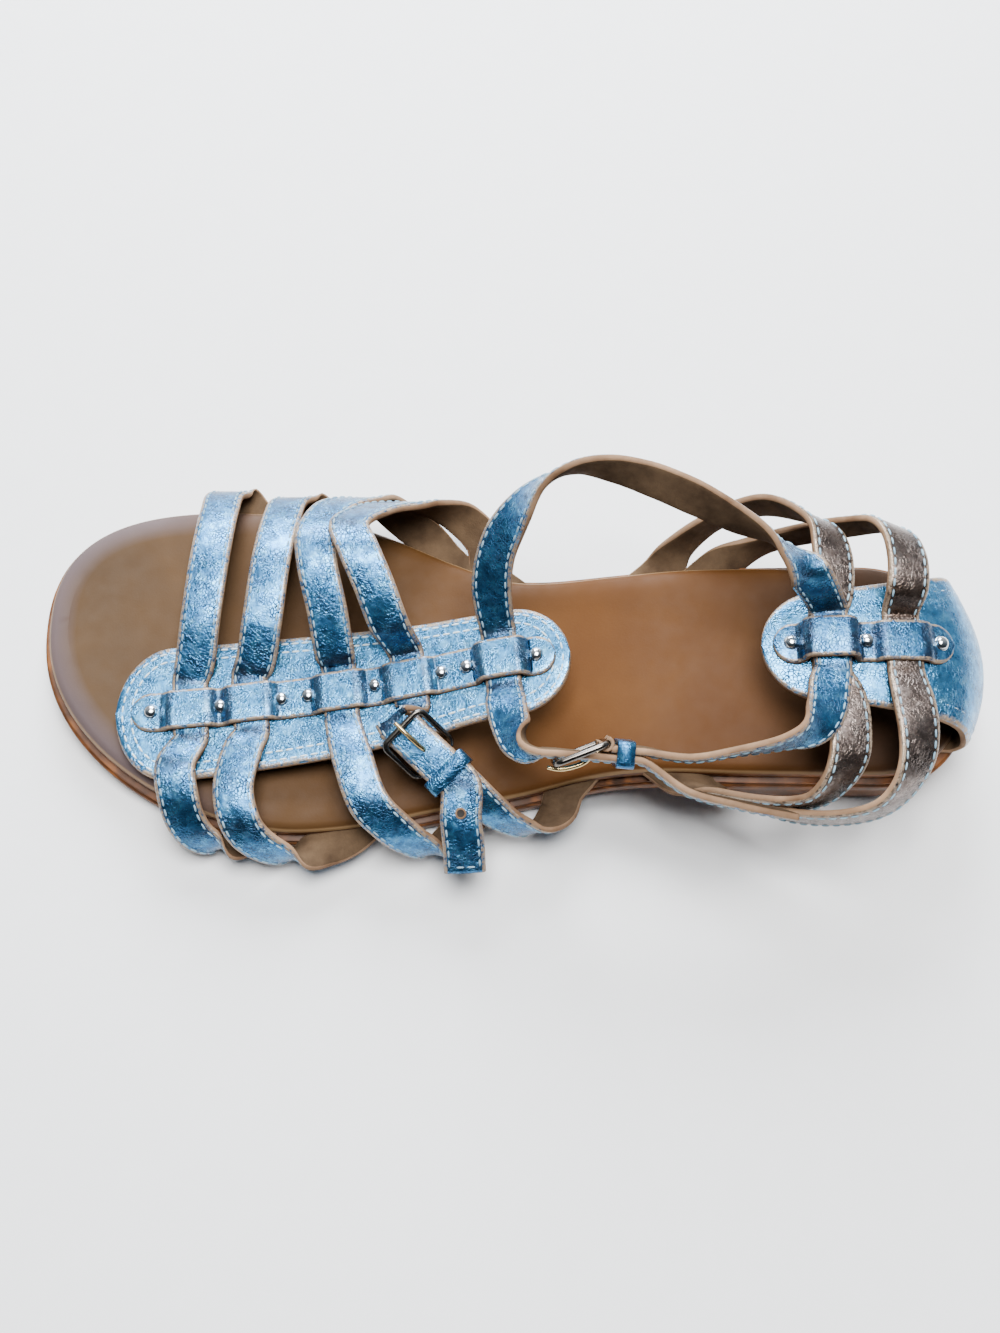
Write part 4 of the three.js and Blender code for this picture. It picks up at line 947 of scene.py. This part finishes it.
def swept_ring(line, section):
    """A closed tube: p = line + outward a + up b for the section's points (a, b)."""
    tangent = unit(np.roll(line, -1, axis=0) - np.roll(line, 1, axis=0))
    up = np.array([0, 0, 1.0])
    outward = np.cross(tangent, up)
    points = line[:, None] + outward[:, None] * section[None, :, :1] + up * section[None, :, 1:2]
    rows, columns = points.shape[:2]
    faces = grid_faces(rows + 1, columns) % (rows * columns)
    return points.reshape(-1, 3), faces.tolist()


def swept_rod(line, radii):
    """An open round rod along a line with a radius at each point, closed at both ends."""
    tangent = unit(np.gradient(line, axis=0))
    across = np.array([0, 1.0, 0])
    normal = np.cross(tangent, across)
    ring = (across * np.cos(turn_16)[:, None])[None] + normal[:, None] * np.sin(turn_16)[None, :, None]
    points = line[:, None] + ring * np.asarray(radii)[:, None, None]
    rows = len(line)
    return points.reshape(-1, 3), grid_faces(rows, 16).tolist() + end_caps(rows, 16)


def tilted(points):
    """Points of the frame's plane, turned by its tilt and set between the two bar heights."""
    c, s = np.cos(frame_tilt), np.sin(frame_tilt)
    turn = np.array([[c, 0, -s], [0, 1, 0], [s, 0, c]])
    return points @ turn + np.array([0, 0, (front_bar + heel_bar) / 2])


wire_section = np.stack([np.cos(turn_16), np.sin(turn_16)], axis=1) * wire / 2
arc = np.radians(np.linspace(-70, 215, 30))


def fittings(name, the_basis):
    """One buckle's frame, prong, leather fold and keeper loop."""
    points, faces = swept_ring(rounded_line(frame_length - wire, frame_width - wire, 2.0), wire_section)
    buckle = make_mesh(name + "_frame", put(the_basis, tilted(points)), faces, [dark_nickel])
    placed_piece(buckle, [name + "_buckle"])
    rise = np.array([[bar_place + 1.2, heel_bar - 0.6], [bar_place + 1.3, heel_bar + 0.6],
                     [bar_place - 0.2, heel_bar + 1.6], [bar_place - 2.6, -0.2], [bar_place - 4.6, 1.75],
                     [0, 2.6], [-bar_place + 1.5, front_bar + 1.6], [-bar_place - 1.8, front_bar + 1.45]])
    line = curve_through(np.stack([rise[:, 0], rise[:, 0] * 0, rise[:, 1]], axis=1), np.linspace(0, 1, 50))
    radii = prong_wire / 2 * np.interp(np.linspace(0, 1, 50), [0, 0.8, 1], [1.05, 1.0, 0.75])
    points, faces = swept_rod(line, radii)
    prong = make_mesh(name + "_prong_pin", put(the_basis, points), faces, [pale_gold])
    placed_piece(prong, [name + "_prong"])
    radius = wire / 2 + 0.65
    eye_width = (strap_width - 2.2) / 2
    for side in (-1, 1):
        knots = [knot(put(the_basis, [bar_place + radius * np.cos(a), side * (1.1 + eye_width / 2),
                                      heel_bar + radius * np.sin(a)]), the_basis[1]) for a in arc[::3]]
        placed_piece(band_object(f"{name}_fold_{'a' if side < 0 else 'b'}",
                                 band(knots, eye_width, fold_thickness, step=0.4), foil_pewter, crown=0.05))
    wall = np.array([[0.5, 2.05], [0.3, 2.2], [-0.3, 2.2], [-0.5, 2.05], [-0.5, -2.05], [-0.3, -2.2],
                     [0.3, -2.2], [0.5, -2.05]])
    height = 2 * strap_thickness + 3 * clearance + 1
    points, faces = swept_ring(rounded_line(height, strap_width + 2 * clearance + 1, 1.2), wall)
    points = np.stack([points[:, 2] + loop_place, points[:, 1], -points[:, 0] - under_layer / 2], axis=1)
    loop = make_mesh(name + "_keeper_loop", put(the_basis, points), faces, [foil_blue])
    placed_piece(loop, [name + "_loop"])


fittings("instep", instep_basis)
fittings("ankle", ankle_basis)


rivet_radius, rivet_height = 1.8, 1.2


def rivet(name, the_band, share, node):
    """A domed rivet: r = R cos(a), h = H sin(a) above a fine foot ring, turned round its axis."""
    at, along, side, face = frame_at(the_band, share, panel_thickness / 2 + band_thickness - press + 0.1)
    a = np.linspace(0, np.pi / 2, 9)
    dome = np.stack([rivet_radius * np.cos(a), 0.3 + rivet_height * np.sin(a)], axis=1)
    dome[-1, 0] = 0.02
    profile = np.concatenate([[[2.0, 0.0], [2.0, 0.18], [1.85, 0.24]], dome])
    turn = np.linspace(0, 2 * np.pi, 28, endpoint=False)
    points = np.stack([profile[:, :1] * np.cos(turn), profile[:, :1] * np.sin(turn),
                       profile[:, 1:] + turn * 0], axis=-1)
    rows, columns = points.shape[:2]
    points = points.reshape(-1, 3) @ np.array([along, side, face]) + at
    faces = grid_faces(rows, columns).tolist() + end_caps(rows, columns)
    return placed_piece(make_mesh(name, points, faces, [nickel]), [node])


for part, the_band, shares in (("vamp", vamp_band, vamp_rivet_shares),
                               ("heel", heel_band, heel_rivet_shares)):
    for i, share in enumerate(shares):
        rivet(f"{part}_dome_{i + 1}", the_band, share, f"{part}_rivet_{i + 1}")
print("rivets", len(vamp_rivet_shares) + len(heel_rivet_shares))


# %% Billet holes
def holes(name, the_band, spots):
    """Punched holes: a dark round of painted shade where the hole is, with a pale scuffed ring, on
    the band's face at (s, y).
    """
    turn = np.linspace(0, 2 * np.pi, 20, endpoint=False)
    radii = np.array([0.05, 0.85, 1.0, 1.35, 1.5])
    lifts = np.array([0.235, 0.235, 0.3, 0.3, 0.2])
    points = []
    for s, y in spots:
        du = (radii[:, None] * np.cos(turn)).ravel() + s
        dv = (radii[:, None] * np.sin(turn)).ravel() + y
        points.append(on_band(the_band, du, dv, np.repeat(lifts, 20))[0])
    faces = grid_faces(5, 20)
    # inner rings take the painted hole shade, outer rings the raw edge
    index = np.tile(np.repeat([0, 0, 1, 1], 20), len(spots))
    faces = np.concatenate([faces + i * 100 for i in range(len(spots))])
    made = make_mesh(name, np.concatenate(points), faces.tolist(), [hole_shade, raw_edge], index)
    return placed_piece(made)


holes("instep_billet_holes", fourth, [(16, 0)])
ankle_spots = [(ankle_length - from_tip, 0) for from_tip in (10, 17, 24)]
holes("ankle_billet_holes", ankle_band, ankle_spots)
print("holes", 1 + len(ankle_spots))


# %% [markdown]
# ## Studio
# A plain pale floor, one large soft light from the inner side of the foot and one above, as in
# the photo where the arched straps are bright on that side. The dome round it is white on that
# side and dark on the other, so the foil has something to reflect. The camera keeps the photo's
# place and angle and turns only to centre this one shoe.

# %% Studio
floor_reach, floor_drop = 3000, -0.05
floor_corners = [(x * floor_reach, y * floor_reach, floor_drop)
                 for x, y in ((-1, -1), (1, -1), (1, 1), (-1, 1))]
pale_floor = plain_material("pale_floor", ("#f1f1f1", "#f3f3f3"), 0.9, 5, 0.0)
make_mesh("floor", floor_corners, [[0, 1, 2, 3]], [pale_floor], smooth=False)
world = bpy.data.worlds.new("studio")
world.use_nodes = True
sky = world.node_tree
outward = add(sky, "SeparateXYZ", {0: add(sky, "TexCoord", {}, "Generated")}, "Y")
share = add(sky, "Math", {0: outward, 1: 0.5, 2: 0.5}, operation="MULTIPLY_ADD")
dome = add(sky, "ValToRGB", {0: share}, stops=[(0.05, "#ffffff"), (0.3, "#c9d6e2"), (0.5, "#76828f"),
                                               (0.75, "#454c55"), (1.0, "#3a4048")])
fill(sky.nodes["Background"], {"Color": dome, "Strength": 0.6})
bpy.context.scene.world = world


def area_light(name, place, target, size, watts, colour):
    """A square soft light that faces a target."""
    data = bpy.data.lights.new(name, "AREA")
    data.size = size
    data.energy = watts
    data.color = paint(colour)[:3]
    made = bpy.data.objects.new(name, data)
    made.location = place
    made.rotation_euler = (Vector(target) - Vector(place)).to_track_quat("-Z", "Y").to_euler()
    bpy.context.scene.collection.objects.link(made)


area_light("window", (0.15, -0.8, 0.5), (0.09, 0, 0.02), 0.5, 26, "#f2f8ff")
area_light("overhead", (0.05, -0.1, 1.1), (0.09, 0, 0), 0.6, 30, "#ffffff")

lens = bpy.data.cameras.new("camera")
lens.lens = 37.13
camera = bpy.data.objects.new("camera", lens)
pitch = np.radians(70.4)
right, up, back = (-1, 0, 0), (0, -np.sin(pitch), np.cos(pitch)), (0, np.cos(pitch), np.sin(pitch))
turned = Matrix((right, up, back)).transposed().to_4x4()
camera.matrix_world = Matrix.Translation((0.0908, 0.1245, 0.372)) @ turned
bpy.context.scene.collection.objects.link(camera)
bpy.context.scene.camera = camera
print("camera at", [round(c, 3) for c in camera.matrix_world.translation], "m")
